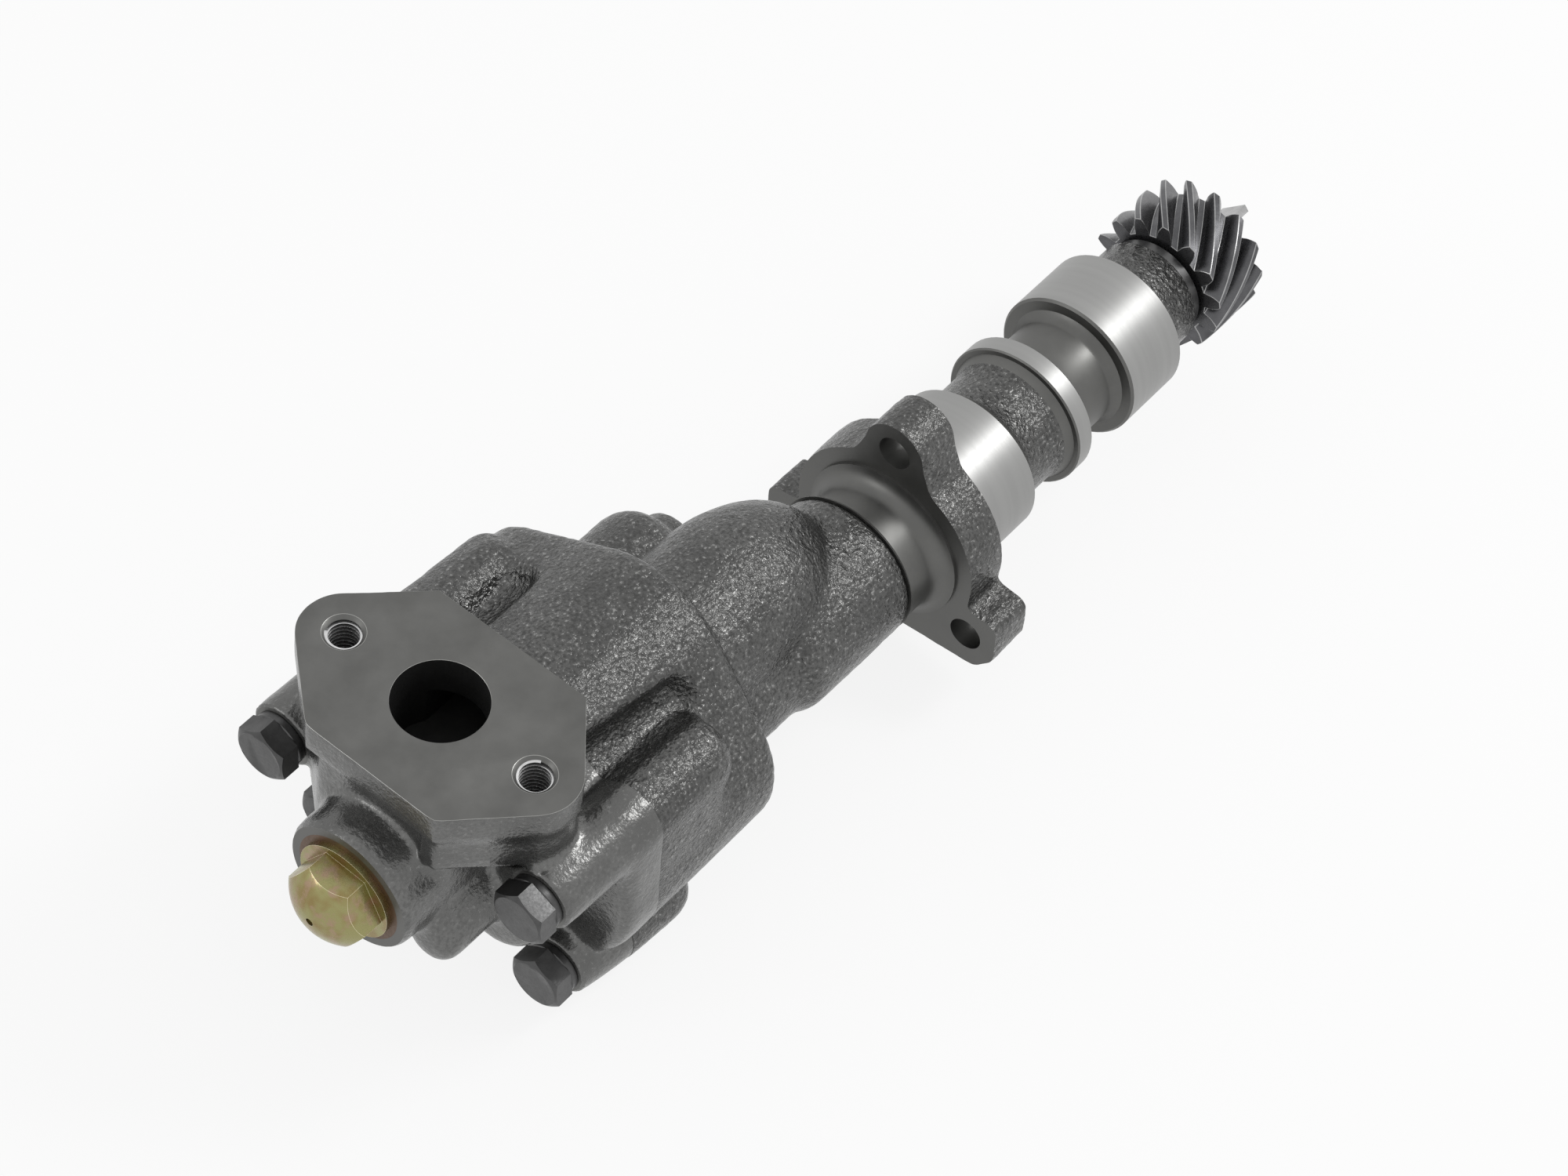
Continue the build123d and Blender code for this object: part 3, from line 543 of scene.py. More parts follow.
def paint_cast_iron(name, colour, painted_highlight_gain, depth):
    """Oiled sand-cast iron: random clouds of tone, painted shade in the grain's low places and
    painted highlights on its high places.
    """
    paint = Paint(name)
    cloud, lumps = paint.noise(0.07, 3), paint.noise(0.35, 1)
    grain, fine = paint.noise(1.15, 2, 0.5), paint.noise(2.6, 2)
    base = paint.mixed(cloud, 0.3, 0.7, tinted(colour, 0.85), tinted(colour, 1.2))
    # Painted shade: the grain's low places are darkened by a share that grows with the depth
    with_painted_pit_shade = paint.mixed(grain, 0.36, 0.52, tinted(colour, 1 - 0.35 * depth), base)
    # Painted highlight: the grain's high places are lightened by the highlight gain
    with_painted_highlights = paint.mixed(grain, 0.61, 0.71, with_painted_pit_shade, tinted(colour, painted_highlight_gain))
    paint.finish(with_painted_highlights, 0.8, (fine, 0.22, 0.32),
                 ((lumps, 0.5 * depth, 1.0), (grain, 0.5 * depth, 1.0)))


def paint_cut_iron(colour):
    """Milled and turned iron: satin grey with faint clouds and fine tool marks."""
    paint = Paint("cut_iron")
    cloud, fine = paint.noise(0.09, 4), paint.noise(3.5, 3)
    swirl = node(paint.tree, "TexWave", {"wave_type": "RINGS", "rings_direction": "SPHERICAL"},
                 Vector=paint.where, Scale=0.55, Distortion=1.5, Detail=2.0).outputs["Fac"]
    clouded = paint.mixed(cloud, 0.3, 0.7, tinted(colour, 0.86), tinted(colour, 1.12))
    paint.finish(clouded, 0.9, (cloud, 0.36, 0.5), ((fine, 0.12, 0.05), (swirl, 0.05, 0.03)))


def paint_ground_iron(colour):
    """Bright ground journals with fine lines round the shaft."""
    paint = Paint("ground_iron", 1, 0.02, 0.02)
    lines = paint.noise(4.0, 5, 0.7)
    paint.stretch(1, 0.05, 0.05)
    band = paint.noise(0.35, 2)
    banded = paint.mixed(band, 0.35, 0.65, tinted(colour, 0.97), tinted(colour, 1.03))
    paint.finish(banded, 1.0, (lines, 0.38, 0.43), ((lines, 0.06, 0.02),))


def paint_metal(name, colour, metallic, roughness, grain=2.0, depth=0.05, strength=0.2):
    """Metal with clouds of colour, uneven gloss and a fine grain."""
    paint = Paint(name)
    cloud, fine = paint.noise(0.25, 3), paint.noise(grain, 3)
    clouded = paint.mixed(cloud, 0.3, 0.7, tinted(colour, 0.8), tinted(colour, 1.15))
    paint.finish(clouded, metallic, (fine, roughness * 0.8, roughness * 1.25),
                 ((fine, strength, depth),))


def paint_zinc(colour):
    """Yellow passivated zinc, with green and violet tints."""
    paint = Paint("yellow_zinc")
    cloud, stain, fine = paint.noise(0.16, 2), paint.noise(0.28, 3), paint.noise(2.5, 3)
    green = paint.mixed(cloud, 0.42, 0.6, colour, (0.31, 0.29, 0.13))
    rosy = paint.mixed(stain, 0.5, 0.66, green, (0.36, 0.25, 0.17), 0.9)
    paint.finish(rosy, 0.95, (fine, 0.18, 0.34), ((fine, 0.06, 0.03),))


# Sizes and colours that a user would change

def size_mm(name, text, default, least=0.0):
    return FloatProperty(name=name, description=text + " in millimetres", default=default,
                         min=least)


def hue(name, text, default):
    return FloatVectorProperty(name=name, description="Colour of " + text, subtype="COLOR",
                               default=default, min=0, max=1)


def watts(name, text, default):
    return FloatProperty(name=name, description=f"Power of the {text} in watts", default=default,
                         min=0)


class OilPumpCasting(bpy.types.PropertyGroup):
    skin_step: size_mm("Skin step", "Spacing of the casting skin's mesh", 0.68, 0.3)
    fillet_passes: IntProperty(
        name="Fillet passes", description="How far inner corners are filled", default=36, min=0)
    cover_fillet_passes: IntProperty(
        name="Cover fillet passes", description="How far the cover's corners are filled",
        default=24, min=0)
    cover_unevenness: FloatProperty(
        name="Cover unevenness", description="Share of the lumps and grain on the cover",
        default=0.35, min=0)
    edge_rounding: size_mm("Edge rounding", "Most metal lost at an edge", 0.85)
    flange_edge_rounding: size_mm("Flange edge rounding",
                                  "Most metal lost at an edge of the flange and the cover", 0.28)
    lump_width: size_mm("Lump width", "Width of the skin's lumps", 7.0, 0.5)
    lump_height: size_mm("Lump height", "Height of the skin's lumps", 0.14)
    grain_width: size_mm("Grain width", "Width of the sand grain", 1.7, 0.3)
    grain_height: size_mm("Grain height", "Height of the sand grain", 0.1)


class OilPumpFinishes(bpy.types.PropertyGroup):
    cast_colour: hue("Cast iron", "the rough castings", (0.092, 0.092, 0.09))
    cut_colour: hue("Cut iron", "the milled and turned faces", (0.135, 0.135, 0.13))
    ground_colour: hue("Ground iron", "the ground journals", (0.32, 0.32, 0.315))
    gear_colour: hue("Gear steel", "the hardened gear", (0.11, 0.11, 0.115))
    bolt_colour: hue("Black bolts", "the blackened bolts", (0.085, 0.085, 0.085))
    steel_colour: hue("Plain steel", "shafts, keys and washers", (0.42, 0.42, 0.42))
    bronze_colour: hue("Bronze", "the bearing bushes", (0.45, 0.28, 0.13))
    copper_colour: hue("Seal", "the plug's seal ring", (0.12, 0.075, 0.05))
    zinc_colour: hue("Zinc", "the relief plug, between its tints", (0.27, 0.205, 0.085))


class OilPumpFasteners(bpy.types.PropertyGroup):
    across_flats: size_mm("Across flats", "Hexagon of the cover bolts", 13.0, 1)
    head_height: size_mm("Head height", "Height of the bolt heads", 5.3, 0.5)
    washer_height: size_mm("Washer height", "Height of the spring washers", 2.0, 0.2)
    head_bevel: size_mm("Head bevel", "How far the bolt heads' faces stop inside the flats", 0.45)
    thread_pitch: size_mm("Thread pitch", "Pitch of the inlet screw threads", 1.25, 0.2)


class OilPumpGear(bpy.types.PropertyGroup):
    teeth: IntProperty(
        name="Teeth", description="Number of teeth of the helical gear", default=14, min=6)
    module: size_mm("Module", "Normal module of the teeth", 2.0, 0.5)
    helix_angle: FloatProperty(
        name="Helix angle", description="Slope of the teeth in degrees", default=35.0, min=0,
        max=60)


class OilPumpStage(bpy.types.PropertyGroup):
    lens: size_mm("Lens", "Focal length of the camera", 93.8, 1)
    key_power: watts("Key light", "large overhead light", 3.8)
    side_power: watts("Side light", "light from the left", 1.0)


class OBJECT_OT_oil_pump_finishes(bpy.types.Operator):
    """Makes the metals of the pump and paints the CAD pieces that stay"""
    bl_idname = "object.oil_pump_finishes"
    bl_label = "Finishes"

    def execute(self, context):
        colours = context.scene.oil_pump_finishes
        cast, cut_iron, steel = colours.cast_colour, colours.cut_colour, colours.steel_colour
        # The third number is the gain of the painted highlights on the grain, the fourth the depth
        # of the painted pit shade and of the bumps
        paint_cast_iron("cast_iron", tinted(cast, 1.1), 2.7, 1.0)
        paint_cast_iron("fine_cast_iron", tinted(cast, 1.5), 1.4, 0.3)
        paint_cut_iron(cut_iron)
        paint_ground_iron(colours.ground_colour)
        paint_zinc(colours.zinc_colour)
        paint_metal("gear_steel", colours.gear_colour, 0.9, 0.3)
        paint_metal("black_steel", colours.bolt_colour, 0.8, 0.34, 1.6, 0.06, 0.25)
        # Painted highlight on the bevelled edges of the gear and the bolts
        paint_metal("painted_steel_edge_highlight", tinted(steel, 0.9), 1.0, 0.3)
        # Worn plating and a painted highlight on the plug's bevelled edges
        paint_metal("zinc_edge_wear_and_highlight", (0.9, 0.83, 0.6), 1.0, 0.22, 2.0, 0.01, 0.05)
        # Painted highlight: the inlet threads are painted 1.5 times as bright as plain steel
        paint_metal("painted_thread_highlight", tinted(steel, 1.5), 1.0, 0.3, 2.0, 0.01, 0.05)
        # Painted highlight for the broken rims of machined faces, 2.8 times the cut iron's colour
        paint_metal("painted_edge_highlight", tinted(cut_iron, 2.8), 1.0, 0.35)
        # Painted shade for the walls of the inlet chamber and the screw holes
        paint_metal("painted_hollow_shade", tinted(cast, 0.3), 0.6, 0.5)
        paint_metal("dark_steel", tinted(steel, 0.25), 0.9, 0.38)
        paint_metal("plain_steel", steel, 1.0, 0.28)
        paint_metal("bearing_bronze", colours.bronze_colour, 1.0, 0.3)
        paint_metal("seal_copper", colours.copper_colour, 0.9, 0.4)
        paint_metal("sintered_steel", tinted(steel, 0.6), 0.9, 0.45, 1.2, 0.1, 0.3)
        pieces_in = {
            "plain_steel": ("drive_shaft", "helical_gear_key", "shaft_circlip", "gear_key",
                            "idler_shaft", "relief_piston", "relief_spring", "dowel_sleeves"),
            "bearing_bronze": ("upper_neck_bush", "lower_neck_bush", "cover_bush", "idler_bush"),
            "sintered_steel": ("drive_pump_gear", "driven_pump_gear"),
            "dark_steel": ("thrust_washer",),
            "seal_copper": ("plug_seal_ring",)}
        for metal, pieces in pieces_in.items():
            for piece in pieces:
                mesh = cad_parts[piece].data
                mesh.materials.clear()
                mesh.materials.append(bpy.data.materials[metal])
        return {"FINISHED"}


class OBJECT_OT_oil_pump_housing(bpy.types.Operator):
    """Pump body casting with its flange and journal neck"""
    bl_idname = "object.oil_pump_housing"
    bl_label = "Pump body"

    def execute(self, context):
        casting = context.scene.oil_pump_casting
        solid = part_solid("pump_housing")
        stock_across(solid, joint_x, -2)
        body = place(solid, "housing", CAST)
        cut(body, slab(shoulder_x, 150, 80))
        scoop(body, wide_valley)
        hollows = housing_hollows()
        add_solids(body, hollows)
        cast_skin(body, casting, casting.fillet_passes, casting.edge_rounding)
        cut(body, slab(-200, joint_x))
        carve_hollows(body, "pump_housing", hollows)
        neck = place(part_solid("pump_housing"), "neck")
        cut(neck, slab(-200, shoulder_x - 0.9))
        ring = place(slab(flange_rear_x, 0, 80), "ring")
        cut(ring, cylinder((flange_rear_x - 1, 0, 0), (1, 0, 0), flange_core_radius, 96))
        combine(neck, ring, "DIFFERENCE")
        slice_across(neck.data, finish_borders)
        repaint(neck.data, neck_finish)
        combine(neck, flange_skin(casting), "UNION")
        combine(body, neck, "UNION")
        sharpen(body.data)
        finish_piece(body, "pump_body_casting", "pump_housing", "pump_body")
        return {"FINISHED"}


def break_edge(obj, test, width):
    """Lowers the sharp rim of a machined face, where both ends of an edge pass the test, and paints
    the new bevel bright as a painted highlight.
    """
    with editing(obj.data) as shape:
        rim = [edge for edge in shape.edges
               if edge.is_manifold and edge.calc_face_angle(0) > radians(35)
               and all(test(end.co) for end in edge.verts)]
        made = bmesh.ops.bevel(shape, geom=rim, offset=width, segments=1, affect="EDGES",
                               clamp_overlap=True)
        for face in made["faces"]:
            # The bevel's faces get the painted edge highlight
            face.material_index = EDGE_HIGHLIGHT


def flange_skin(casting):
    """Mounting flange with rough sides between its two machined faces, open round the neck."""
    extra = 1.5
    front, rear = extra + 0.1, flange_rear_x - extra - 0.1
    flange = place(part_solid("pump_housing"), "flange", CAST)
    combine(flange, place(slab(flange_rear_x, 0, 80), "slab"), "INTERSECT")
    with editing(flange.data) as shape:
        stock_across(shape, 0, extra)
        stock_across(shape, flange_rear_x, -extra)
    holes = []
    for lug in range(3):
        turn = mount_turn + pi / 2 + lug * 2 * pi / 3
        y, z = mount_circle_radius * cos(turn), mount_circle_radius * sin(turn)
        holes.append(cylinder((rear, y, z), (front, y, z), 5.4))
    core = cylinder((rear, 0, 0), (front, 0, 0), flange_core_radius + 0.6, 96)
    add_solids(flange, holes + [core])
    cast_skin(flange, casting, casting.fillet_passes, casting.flange_edge_rounding)
    for low, high in ((-50, flange_rear_x), (0, 50)):
        cut(flange, slab(low, high, 80))
    carve_hollows(flange, "pump_housing", holes)
    cut(flange, cylinder((flange_rear_x - 1, 0, 0), (1, 0, 0), flange_core_radius - 0.4, 96))
    return flange


class OBJECT_OT_oil_pump_cover(bpy.types.Operator):
    """Cover casting with the inlet flange and the relief valve boss"""
    bl_idname = "object.oil_pump_cover"
    bl_label = "Cover"

    def execute(self, context):
        casting = context.scene.oil_pump_casting
        solid = part_solid("pump_cover")
        stock_across(solid, joint_x, 2)
        stock(solid, lambda at: abs(at.z - inlet_height) < 0.01, (0, 0, 2))
        stock_across(solid, relief_front_x, -0.6)
        for y, z, seat in all_bolts:
            stock(solid, lambda at: abs(at.x - seat) < 0.01 and hypot(at.y - y, at.z - z) < 9,
                  (-0.3, 0, 0))
        body = place(solid, "cover", CAST)
        hollows = cover_hollows()
        add_solids(body, hollows)
        scoop(body, wide_valley)
        cast_skin(body, casting, casting.cover_fillet_passes, casting.flange_edge_rounding,
                  casting.cover_unevenness)
        repaint(body.data, lambda centre, normal: FINE_CAST)
        cut(body, slab(joint_x, 0))
        cut(body, block((-200, -100, inlet_height), (-100, 100, 100)))
        cut(body, slab(-200, relief_front_x))
        for y, z, seat in all_bolts:
            cut(body, cylinder((seat - 20, y, z), (seat, y, z), head_space_radius))
        carve_hollows(body, "pump_cover", hollows, cover_hollow_shade)
        for x, y in inlet_screws:
            sink = bmesh.new()
            bmesh.ops.create_cone(sink, cap_ends=True, segments=64, radius1=thread_radius - 0.2,
                                  radius2=thread_radius + 0.9, depth=countersink_depth)
            top = inlet_height - countersink_depth / 2 + 0.01
            bmesh.ops.translate(sink, vec=(x, y, top), verts=sink.verts)
            cut(body, sink)
        break_edge(body, lambda at: abs(at.z - inlet_height) < 0.01, 0.3)
        sharpen(body.data)
        finish_piece(body, "cover_casting", "pump_cover", "pump_body")
        starts = [(x, y, inlet_height - thread_top_depth) for x, y in inlet_screws]
        tree = thread_tree(context.scene.oil_pump_fasteners)
        threads = tree.run("inlet_threads", starts, {"turn": thread_turns})
        sharpen(threads.data)
        threads.data.transform(Matrix.Scale(0.001, 4))
        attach(threads, "pump_body")
        return {"FINISHED"}


def paint_whole(obj, material_name):
    """Gives the whole object one material."""
    obj.data.materials.clear()
    obj.data.materials.append(bpy.data.materials[material_name])
    for face in obj.data.polygons:
        face.material_index = 0


def soften(obj, width, angle, edge_material):
    """Small bevels on the object's edges, painted bright as an edge highlight, with flat faces left
    flat.
    """
    bevel = obj.modifiers.new("bevel", "BEVEL")
    obj.data.materials.append(bpy.data.materials[edge_material])
    bevel.material = len(obj.data.materials) - 1
    bevel.width = width
    bevel.segments = 2
    bevel.limit_method = "ANGLE"
    bevel.angle_limit = radians(angle)
    bevel.use_clamp_overlap = True
    settle(obj)
    for face in obj.data.polygons:
        face.use_smooth = True
    obj.data.set_sharp_from_angle(angle=radians(12))


class OBJECT_OT_oil_pump_plug(bpy.types.Operator):
    """Relief valve plug with a domed hexagon"""
    bl_idname = "object.oil_pump_plug"
    bl_label = "Relief plug"

    def execute(self, context):
        solid = part_solid("relief_plug")
        bmesh.ops.dissolve_limit(solid, angle_limit=radians(1), verts=solid.verts,
                                 edges=solid.edges)
        for face in solid.faces:
            face.smooth = True
        mesh = bpy.data.meshes.new("plug")
        solid.to_mesh(mesh)
        solid.free()
        mesh.materials.append(bpy.data.materials["yellow_zinc"])
        plug = new_object("plug", mesh)
        # The bevels get the edge material: worn plating and a painted highlight
        soften(plug, width=0.6, angle=18, edge_material="zinc_edge_wear_and_highlight")
        centre = Matrix.Translation((0, *relief_axis))
        turn = Matrix.Rotation(radians(plug_turn), 4, "X")
        plug.data.transform(centre @ turn @ centre.inverted())
        finish_piece(plug, "relief_valve_plug", "relief_plug", "pump_body")
        return {"FINISHED"}


# Pieces that repeat, made with geometry nodes

class NodeTree:
    """Geometry node tree with named inputs, put together step by step."""

    def __init__(self, name, material, sizes):
        sizes["Material"] = bpy.data.materials[material]
        self.tree = bpy.data.node_groups.new(name, "GeometryNodeTree")
        face = self.tree.interface
        face.new_socket("Geometry", in_out="INPUT", socket_type="NodeSocketGeometry")
        self.identifiers = {}
        for key, value in sizes.items():
            kind = "NodeSocketInt" if isinstance(value, int) else "NodeSocketFloat"
            if isinstance(value, bpy.types.Material):
                kind = "NodeSocketMaterial"
            made = face.new_socket(key, in_out="INPUT", socket_type=kind)
            self.identifiers[key] = made.identifier
        face.new_socket("Geometry", in_out="OUTPUT", socket_type="NodeSocketGeometry")
        self.sizes = sizes
        self.inputs = self.tree.nodes.new("NodeGroupInput").outputs

    def add(self, kind, sockets, settings=()):
        """First output of a new node, with its sockets by name or place, and its settings."""
        made = self.tree.nodes.new(kind)
        for key, value in dict(settings).items():
            setattr(made, key, value)
        for key, value in sockets.items():
            for source in value if isinstance(value, list) else [value]:
                feed(self.tree, made.inputs[key], source)
        return made.outputs[0]

    def shape(self, kind, sockets, **settings):
        return self.add("GeometryNode" + kind, sockets, settings)

    def maths(self, operation, first, second):
        return self.add("ShaderNodeMath", {0: first, 1: second}, {"operation": operation})

    def half(self, value):
        return self.maths("MULTIPLY", value, 0.5)

    def vector(self, x=0.0, z=0.0):
        return self.add("ShaderNodeCombineXYZ", {0: x, 2: z})

    def raised(self, shape, height):
        return self.shape("Transform", {"Geometry": shape, "Translation": self.vector(z=height)})

    def swept(self, path, outline):
        """Closed solid of an outline that runs along a path."""
        return self.shape("CurveToMesh", {"Curve": path, "Profile Curve": outline,
                                          "Fill Caps": True})

    def finish(self, geometry):
        """Ends the tree with real geometry in one material."""
        real = self.shape("RealizeInstances", {"Geometry": geometry})
        painted = self.shape("SetMaterial", {"Geometry": real, "Material": self.inputs["Material"]})
        self.tree.links.new(painted, self.tree.nodes.new("NodeGroupOutput").inputs[0])

    def finish_on_points(self, shape, towards):
        """Ends the tree with the shape on every point, turned by the point's own angle round
        the given direction."""
        turn = self.shape("InputNamedAttribute", {"Name": "turn"}, data_type="FLOAT")
        spin = self.add("FunctionNodeAxisAngleToRotation", {"Axis": (0, 0, 1), "Angle": turn})
        aim = self.add("FunctionNodeAlignRotationToVector", {"Vector": towards}, {"axis": "Z"})
        turned = self.add("FunctionNodeRotateRotation", {"Rotation": aim, "Rotate By": spin},
                          {"rotation_space": "LOCAL"})
        self.finish(self.shape("InstanceOnPoints", {"Points": self.inputs["Geometry"],
                                                    "Instance": shape, "Rotation": turned}))

    def run(self, name, points, attributes, chained=False):
        """Plain mesh object of the tree, run on points with float attributes, or on a line
        through them."""
        base = bpy.data.meshes.new(name + "_points")
        links = [(step, step + 1) for step in range(len(points) - 1)] if chained else []
        base.from_pydata([tuple(point) for point in points], links, [])
        for key, values in attributes.items():
            base.attributes.new(key, "FLOAT", "POINT").data.foreach_set("value", values)
        obj = new_object(name, base)
        modifier = obj.modifiers.new("shape", "NODES")
        modifier.node_group = self.tree
        for key, value in self.sizes.items():
            modifier[self.identifiers[key]] = value
        settle(obj)
        obj.data.name = name
        if not obj.data.polygons:
            raise RuntimeError(f"the nodes made nothing for {name}")
        paint_whole(obj, self.sizes["Material"].name)
        return obj


def cover_bolt_tree(sizes, length):
    """Hexagon bolts that stand with the underside of the head on each point, shank along X."""
    tree = NodeTree("cover_bolt", "black_steel", {
        "Across flats": sizes.across_flats, "Head height": sizes.head_height,
        "Face bevel": sizes.head_bevel, "Shank": 3.98, "Length": length})
    got = tree.inputs
    height = got["Head height"]
    corner = tree.maths("DIVIDE", got["Across flats"], sqrt(3))
    prism = tree.shape("MeshCylinder", {"Vertices": 6, "Radius": corner, "Depth": height})
    # A wide cone cuts the corners of the face, as on a turned hexagon bar
    flat = tree.maths("DIVIDE", got["Across flats"], 2.0)
    face = tree.maths("SUBTRACT", flat, got["Face bevel"])
    foot = tree.maths("ADD", face, tree.maths("MULTIPLY", height, sqrt(3)))
    cone = tree.shape("MeshCone", {"Vertices": 96, "Radius Top": foot, "Radius Bottom": face,
                                   "Depth": height})
    sunk = tree.maths("MULTIPLY", height, -0.5)
    meshes = [prism, tree.raised(cone, sunk)]
    trimmed = tree.shape("MeshBoolean", {"Mesh 2": meshes}, operation="INTERSECT", solver="EXACT")
    head = tree.raised(trimmed, sunk)
    shank = tree.shape("MeshCylinder", {"Vertices": 48, "Radius": got["Shank"],
                                        "Depth": got["Length"]})
    laid = tree.raised(shank, tree.half(got["Length"]))
    bolt = tree.shape("JoinGeometry", {"Geometry": [laid, head]})
    tree.finish_on_points(bolt, (1, 0, 0))
    return tree


def spring_washer_tree(sizes):
    """Split rings of square wire, one under each bolt head."""
    tree = NodeTree("spring_washer", "black_steel", {
        "Outer radius": washer_radius, "Inner radius": 4.2, "Height": sizes.washer_height,
        "Split": 0.21, "Steps": 72})
    got = tree.inputs
    width = tree.maths("SUBTRACT", got["Outer radius"], got["Inner radius"])
    middle = tree.half(tree.maths("ADD", got["Outer radius"], got["Inner radius"]))
    sweep = tree.maths("SUBTRACT", 2 * pi, got["Split"])
    arc = tree.shape("CurveArc", {"Resolution": got["Steps"], "Radius": middle,
                                  "Start Angle": tree.half(got["Split"]), "Sweep Angle": sweep},
                     mode="RADIUS")
    wire = tree.shape("CurvePrimitiveQuadrilateral", {"Width": width, "Height": got["Height"]},
                      mode="RECTANGLE")
    rounding = tree.maths("MULTIPLY", got["Height"], 0.12)
    rounded = tree.shape("FilletCurve", {"Curve": wire, "Radius": rounding}, mode="BEZIER")
    ring = tree.swept(arc, tree.shape("ResampleCurve", {"Curve": rounded}, mode="EVALUATED"))
    tree.finish_on_points(tree.raised(ring, tree.half(got["Height"])), (1, 0, 0))
    return tree


def thread_tree(sizes):
    """Inside thread of the inlet screw holes, wound down from each point."""
    # The thread is painted bright, a painted highlight on its ridges
    tree = NodeTree("inlet_thread", "painted_thread_highlight", {
        "Hole radius": thread_radius, "Pitch": sizes.thread_pitch, "Depth of thread": 0.62,
        "Turns": 10, "Steps per turn": 40})
    got = tree.inputs
    height = tree.maths("MULTIPLY", got["Turns"], got["Pitch"])
    coil = tree.shape("CurveSpiral", {
        "Resolution": got["Steps per turn"], "Rotations": got["Turns"],
        "Start Radius": got["Hole radius"], "End Radius": got["Hole radius"], "Height": height})
    upright = tree.shape("SetCurveNormal", {"Curve": coil}, mode="Z_UP")
    ridge = tree.shape("CurvePrimitiveQuadrilateral", {
        "Width": tree.maths("MULTIPLY", got["Pitch"], 0.72), "Bottom Height": 0.1,
        "Top Height": got["Depth of thread"]}, mode="KITE")
    lowered = tree.raised(tree.swept(upright, ridge), tree.maths("MULTIPLY", height, -1.0))
    tree.finish_on_points(lowered, (0, 0, 1))
    return tree


def pitch_radius(sizes):
    """Radius of the helical gear's pitch circle."""
    return sizes.module / cos(radians(sizes.helix_angle)) * sizes.teeth / 2


def tooth_line(sizes):
    """One tooth of the helical gear in its own plane, from gap to gap, as (x, y, 0) points."""
    pitch = pitch_radius(sizes)
    root = pitch - 1.25 * sizes.module
    tip = pitch + sizes.module
    pressure = atan(tan(radians(20)) / cos(radians(sizes.helix_angle)))
    base = pitch * cos(pressure)
    half = pi / (2 * sizes.teeth) + tan(pressure) - pressure
    gap = pi / sizes.teeth
    side = [(root, half + 0.25 * (gap - half))]
    for step in range(7):
        radius = base + (tip - base) * step / 6
        roll = acos(min(1.0, base / radius))
        side.append((radius, half - (tan(roll) - roll)))
    polar = [(root, -gap)] + [(radius, -turn) for radius, turn in side]
    polar += [(tip, 0)] + side[::-1] + [(root, gap)]
    return [(radius * cos(turn), radius * sin(turn), 0.0) for radius, turn in polar]


def helical_gear_tree(sizes):
    """Teeth round a circle, drawn along X while they turn."""
    twist = gear_width * tan(radians(sizes.helix_angle)) / pitch_radius(sizes)
    tree = NodeTree("helical_gear", "gear_steel", {
        "Teeth": sizes.teeth, "Width": gear_width, "Twist": twist, "Phase": gear_phase,
        "Steps": 28})
    got = tree.inputs
    places = tree.shape("Points", {"Count": got["Teeth"]})
    part_turn = tree.maths("MULTIPLY", tree.shape("InputIndex", {}), 2 * pi)
    angle = tree.maths("DIVIDE", part_turn, got["Teeth"])
    ring = tree.shape("InstanceOnPoints", {"Points": places, "Instance": got["Geometry"],
                                           "Rotation": tree.vector(z=angle)})
    real = tree.shape("RealizeInstances", {"Geometry": ring})
    closed = tree.shape("MergeByDistance", {"Geometry": real, "Distance": 0.01})
    outline = tree.shape("MeshToCurve", {"Mesh": closed})
    path = tree.shape("CurvePrimitiveLine", {"Start": (0, 0, 0),
                                             "End": tree.vector(x=got["Width"])})
    steps = tree.shape("ResampleCurve", {"Curve": path, "Count": got["Steps"]}, mode="COUNT")
    share = tree.maths("MULTIPLY", tree.shape("SplineParameter", {}), got["Twist"])
    tilt = tree.maths("SUBTRACT", got["Phase"], share)
    turned = tree.shape("SetCurveTilt", {"Curve": steps, "Tilt": tilt})
    tree.finish(tree.swept(turned, outline))
    return tree


class OBJECT_OT_oil_pump_gear(bpy.types.Operator):
    """Helical gear with broken edges"""
    bl_idname = "object.oil_pump_gear"
    bl_label = "Helical gear"

    def execute(self, context):
        sizes = context.scene.oil_pump_gear
        gear = helical_gear_tree(sizes).run("gear", tooth_line(sizes), {}, True)
        gear.data.transform(Matrix.Translation((gear_start_x, 0, 0)))
        hub = place(cylinder((hub_start_x, 0, 0), (gear_start_x + 1, 0, 0), hub_radius, 96), "hub")
        paint_whole(hub, "gear_steel")
        combine(gear, hub, "UNION")
        carve_hollows(gear, "helical_gear", [cylinder(*gear_plug)])
        paint_whole(gear, "gear_steel")
        # The bevels get a painted edge highlight
        soften(gear, width=0.16, angle=30, edge_material="painted_steel_edge_highlight")
        finish_piece(gear, "helical_drive_gear", "helical_gear", "drive_train")
        return {"FINISHED"}


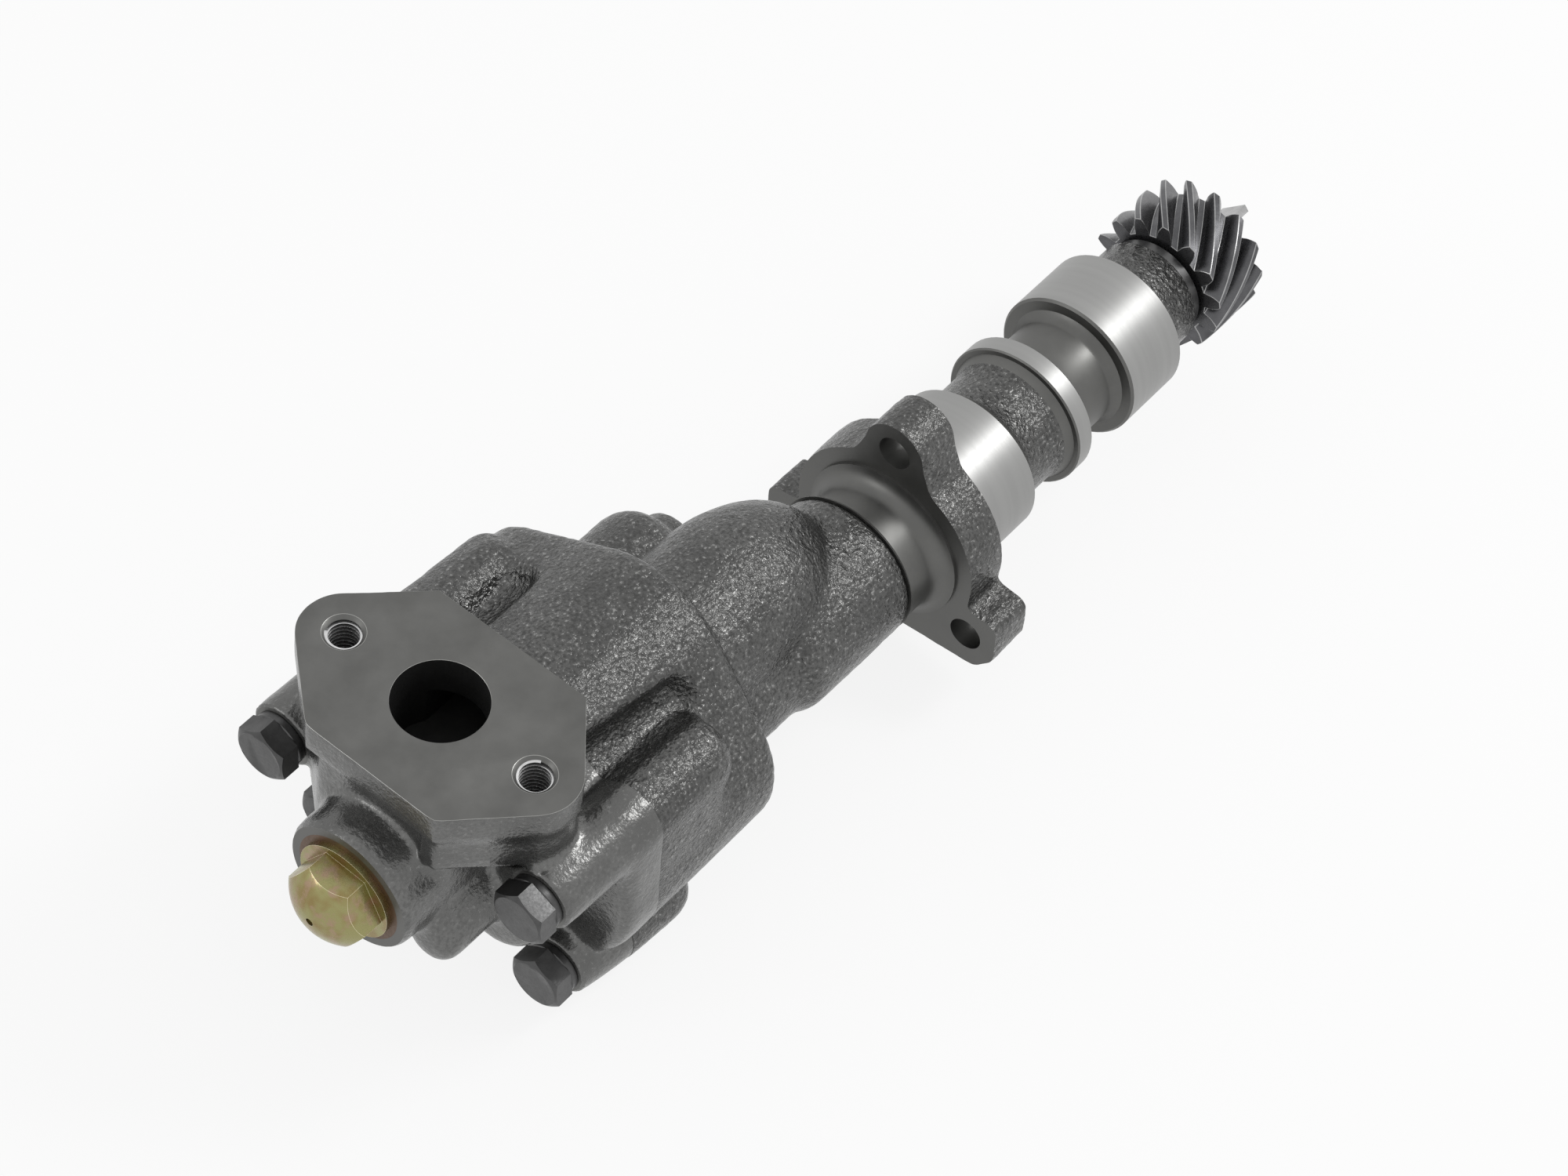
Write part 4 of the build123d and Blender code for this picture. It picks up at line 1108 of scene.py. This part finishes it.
class OBJECT_OT_oil_pump_bolts(bpy.types.Operator):
    """Cover bolts and their spring washers"""
    bl_idname = "object.oil_pump_bolts"
    bl_label = "Cover bolts"

    def execute(self, context):
        sizes = context.scene.oil_pump_fasteners
        points = [(seat - sizes.washer_height, y, z) for y, z, seat in all_bolts]
        for name, here, length in (("long_cover_bolts", points[:2], long_bolt_length),
                                   ("short_cover_bolts", points[2:], short_bolt_length)):
            turns = [radians(turn) for turn in head_turns[name]]
            made = cover_bolt_tree(sizes, length).run(name + "_fitted", here, {"turn": turns})
            # The bevels get a painted edge highlight
            soften(made, width=0.2, angle=25, edge_material="painted_steel_edge_highlight")
            finish_piece(made, name + "_fitted", name, "pump_body")
        turns = [radians(turn) for turn in washer_turns]
        washers = spring_washer_tree(sizes).run("spring_washers_fitted", points, {"turn": turns})
        washers.data.set_sharp_from_angle(angle=radians(35))
        finish_piece(washers, "spring_washers_fitted", "spring_washers", "pump_body")
        return {"FINISHED"}


def looking_rays(tree):
    """1 for camera and mirror rays, 0 for all others."""
    path = node(tree, "LightPath")
    seen = node(tree, "Math", {"operation": "MAXIMUM"})
    for index, kind in enumerate(("Is Camera Ray", "Is Glossy Ray")):
        tree.links.new(path.outputs[kind], seen.inputs[index])
    return seen.outputs[0]


def floor_material(colour, share):
    """Matt surface that camera and mirror rays see mostly as plain white."""
    material = bpy.data.materials.new("floor_white")
    tree = empty_tree(material)
    matt = node(tree, "BsdfDiffuse", Color=(*colour, 1))
    white = node(tree, "Emission", Color=(1, 1, 1, 1), Strength=1.0)
    amount = node(tree, "Math", {"operation": "MULTIPLY"})
    mix = node(tree, "MixShader", Fac=amount.outputs[0])
    for socket, value in ((amount.inputs[0], looking_rays(tree)), (amount.inputs[1], share),
                          (mix.inputs[1], matt.outputs[0]), (mix.inputs[2], white.outputs[0])):
        feed(tree, socket, value)
    node(tree, "OutputMaterial", Surface=mix.outputs[0])
    return material


def add_light(name, where, size, power, towards=(-0.05, 0, 0)):
    """Square lamp of a size in metres that shines towards a place."""
    lamp = bpy.data.lights.new(name, "AREA")
    lamp.shape = "RECTANGLE"
    lamp.size = lamp.size_y = size
    lamp.energy = power
    obj = new_object(name, lamp)
    obj.location = where
    aim = Vector(towards) - Vector(where)
    obj.rotation_euler = aim.to_track_quat("-Z", "Y").to_euler()


class OBJECT_OT_oil_pump_stage(bpy.types.Operator):
    """Pale floor, soft lights and the camera at the photograph's angle"""
    bl_idname = "object.oil_pump_stage"
    bl_label = "Stage"

    def execute(self, context):
        stage = context.scene.oil_pump_stage
        height = cad_box[0].z
        reach = 4.0
        mesh = bpy.data.meshes.new("floor")
        corners = [(-reach, -reach, height), (reach, -reach, height), (reach, reach, height),
                   (-reach, reach, height)]
        mesh.from_pydata(corners, [], [(0, 1, 2, 3)])
        mesh.materials.append(floor_material((0.85, 0.85, 0.85), 0.85))
        new_object("floor", mesh)

        world = bpy.data.worlds.new("studio")
        context.scene.world = world
        tree = empty_tree(world)
        strength = spread(tree, looking_rays(tree), 0, 1, 0.7, 1.0)
        background = node(tree, "Background", Color=(1, 1, 1, 1), Strength=strength)
        node(tree, "OutputWorld", Surface=background.outputs[0])

        add_light("key", (0.56, -0.42, 0.83), 0.32, stage.key_power)
        add_light("side", (-0.75, 0.55, 0.45), 0.35, stage.side_power)

        camera = bpy.data.cameras.new("camera")
        camera.lens = stage.lens
        camera.sensor_width = 36
        camera.clip_start = 0.01
        eye = new_object("camera", camera)
        turn = Matrix(((0.62511, 0.57700, -0.52565),
                       (-0.77383, 0.54620, -0.32070),
                       (0.10206, 0.60724, 0.78793)))
        eye.matrix_world = Matrix.Translation((-0.5420, -0.29833, 0.75217)) @ turn.to_4x4()
        context.scene.camera = eye
        context.scene.view_settings.view_transform = "Standard"
        return {"FINISHED"}


class VIEW3D_PT_oil_pump(bpy.types.Panel):
    """Sizes, colours and pieces of the oil pump"""
    bl_idname = "VIEW3D_PT_oil_pump"
    bl_label = "Oil pump"
    bl_space_type = "VIEW_3D"
    bl_region_type = "UI"
    bl_category = "Oil pump"

    def draw(self, context):
        for name, group in groups.items():
            box = self.layout.box()
            for key in group.__annotations__:
                box.prop(getattr(context.scene, name), key)
        for operator in operators:
            self.layout.operator(operator.bl_idname)


groups = {"oil_pump_casting": OilPumpCasting, "oil_pump_finishes": OilPumpFinishes,
          "oil_pump_fasteners": OilPumpFasteners, "oil_pump_gear": OilPumpGear,
          "oil_pump_stage": OilPumpStage}
operators = (OBJECT_OT_oil_pump_finishes, OBJECT_OT_oil_pump_housing, OBJECT_OT_oil_pump_cover,
             OBJECT_OT_oil_pump_gear, OBJECT_OT_oil_pump_plug, OBJECT_OT_oil_pump_bolts,
             OBJECT_OT_oil_pump_stage)


def register():
    for name, group in groups.items():
        bpy.utils.register_class(group)
        setattr(bpy.types.Scene, name, PointerProperty(type=group))
    for operator in operators:
        bpy.utils.register_class(operator)
    bpy.utils.register_class(VIEW3D_PT_oil_pump)


def unregister():
    bpy.utils.unregister_class(VIEW3D_PT_oil_pump)
    for operator in reversed(operators):
        bpy.utils.unregister_class(operator)
    for name, group in groups.items():
        delattr(bpy.types.Scene, name)
        bpy.utils.unregister_class(group)


def main():
    register()
    for operator in operators:
        family, name = operator.bl_idname.split(".")
        getattr(getattr(bpy.ops, family), name)()


if __name__ == "__main__":
    main()
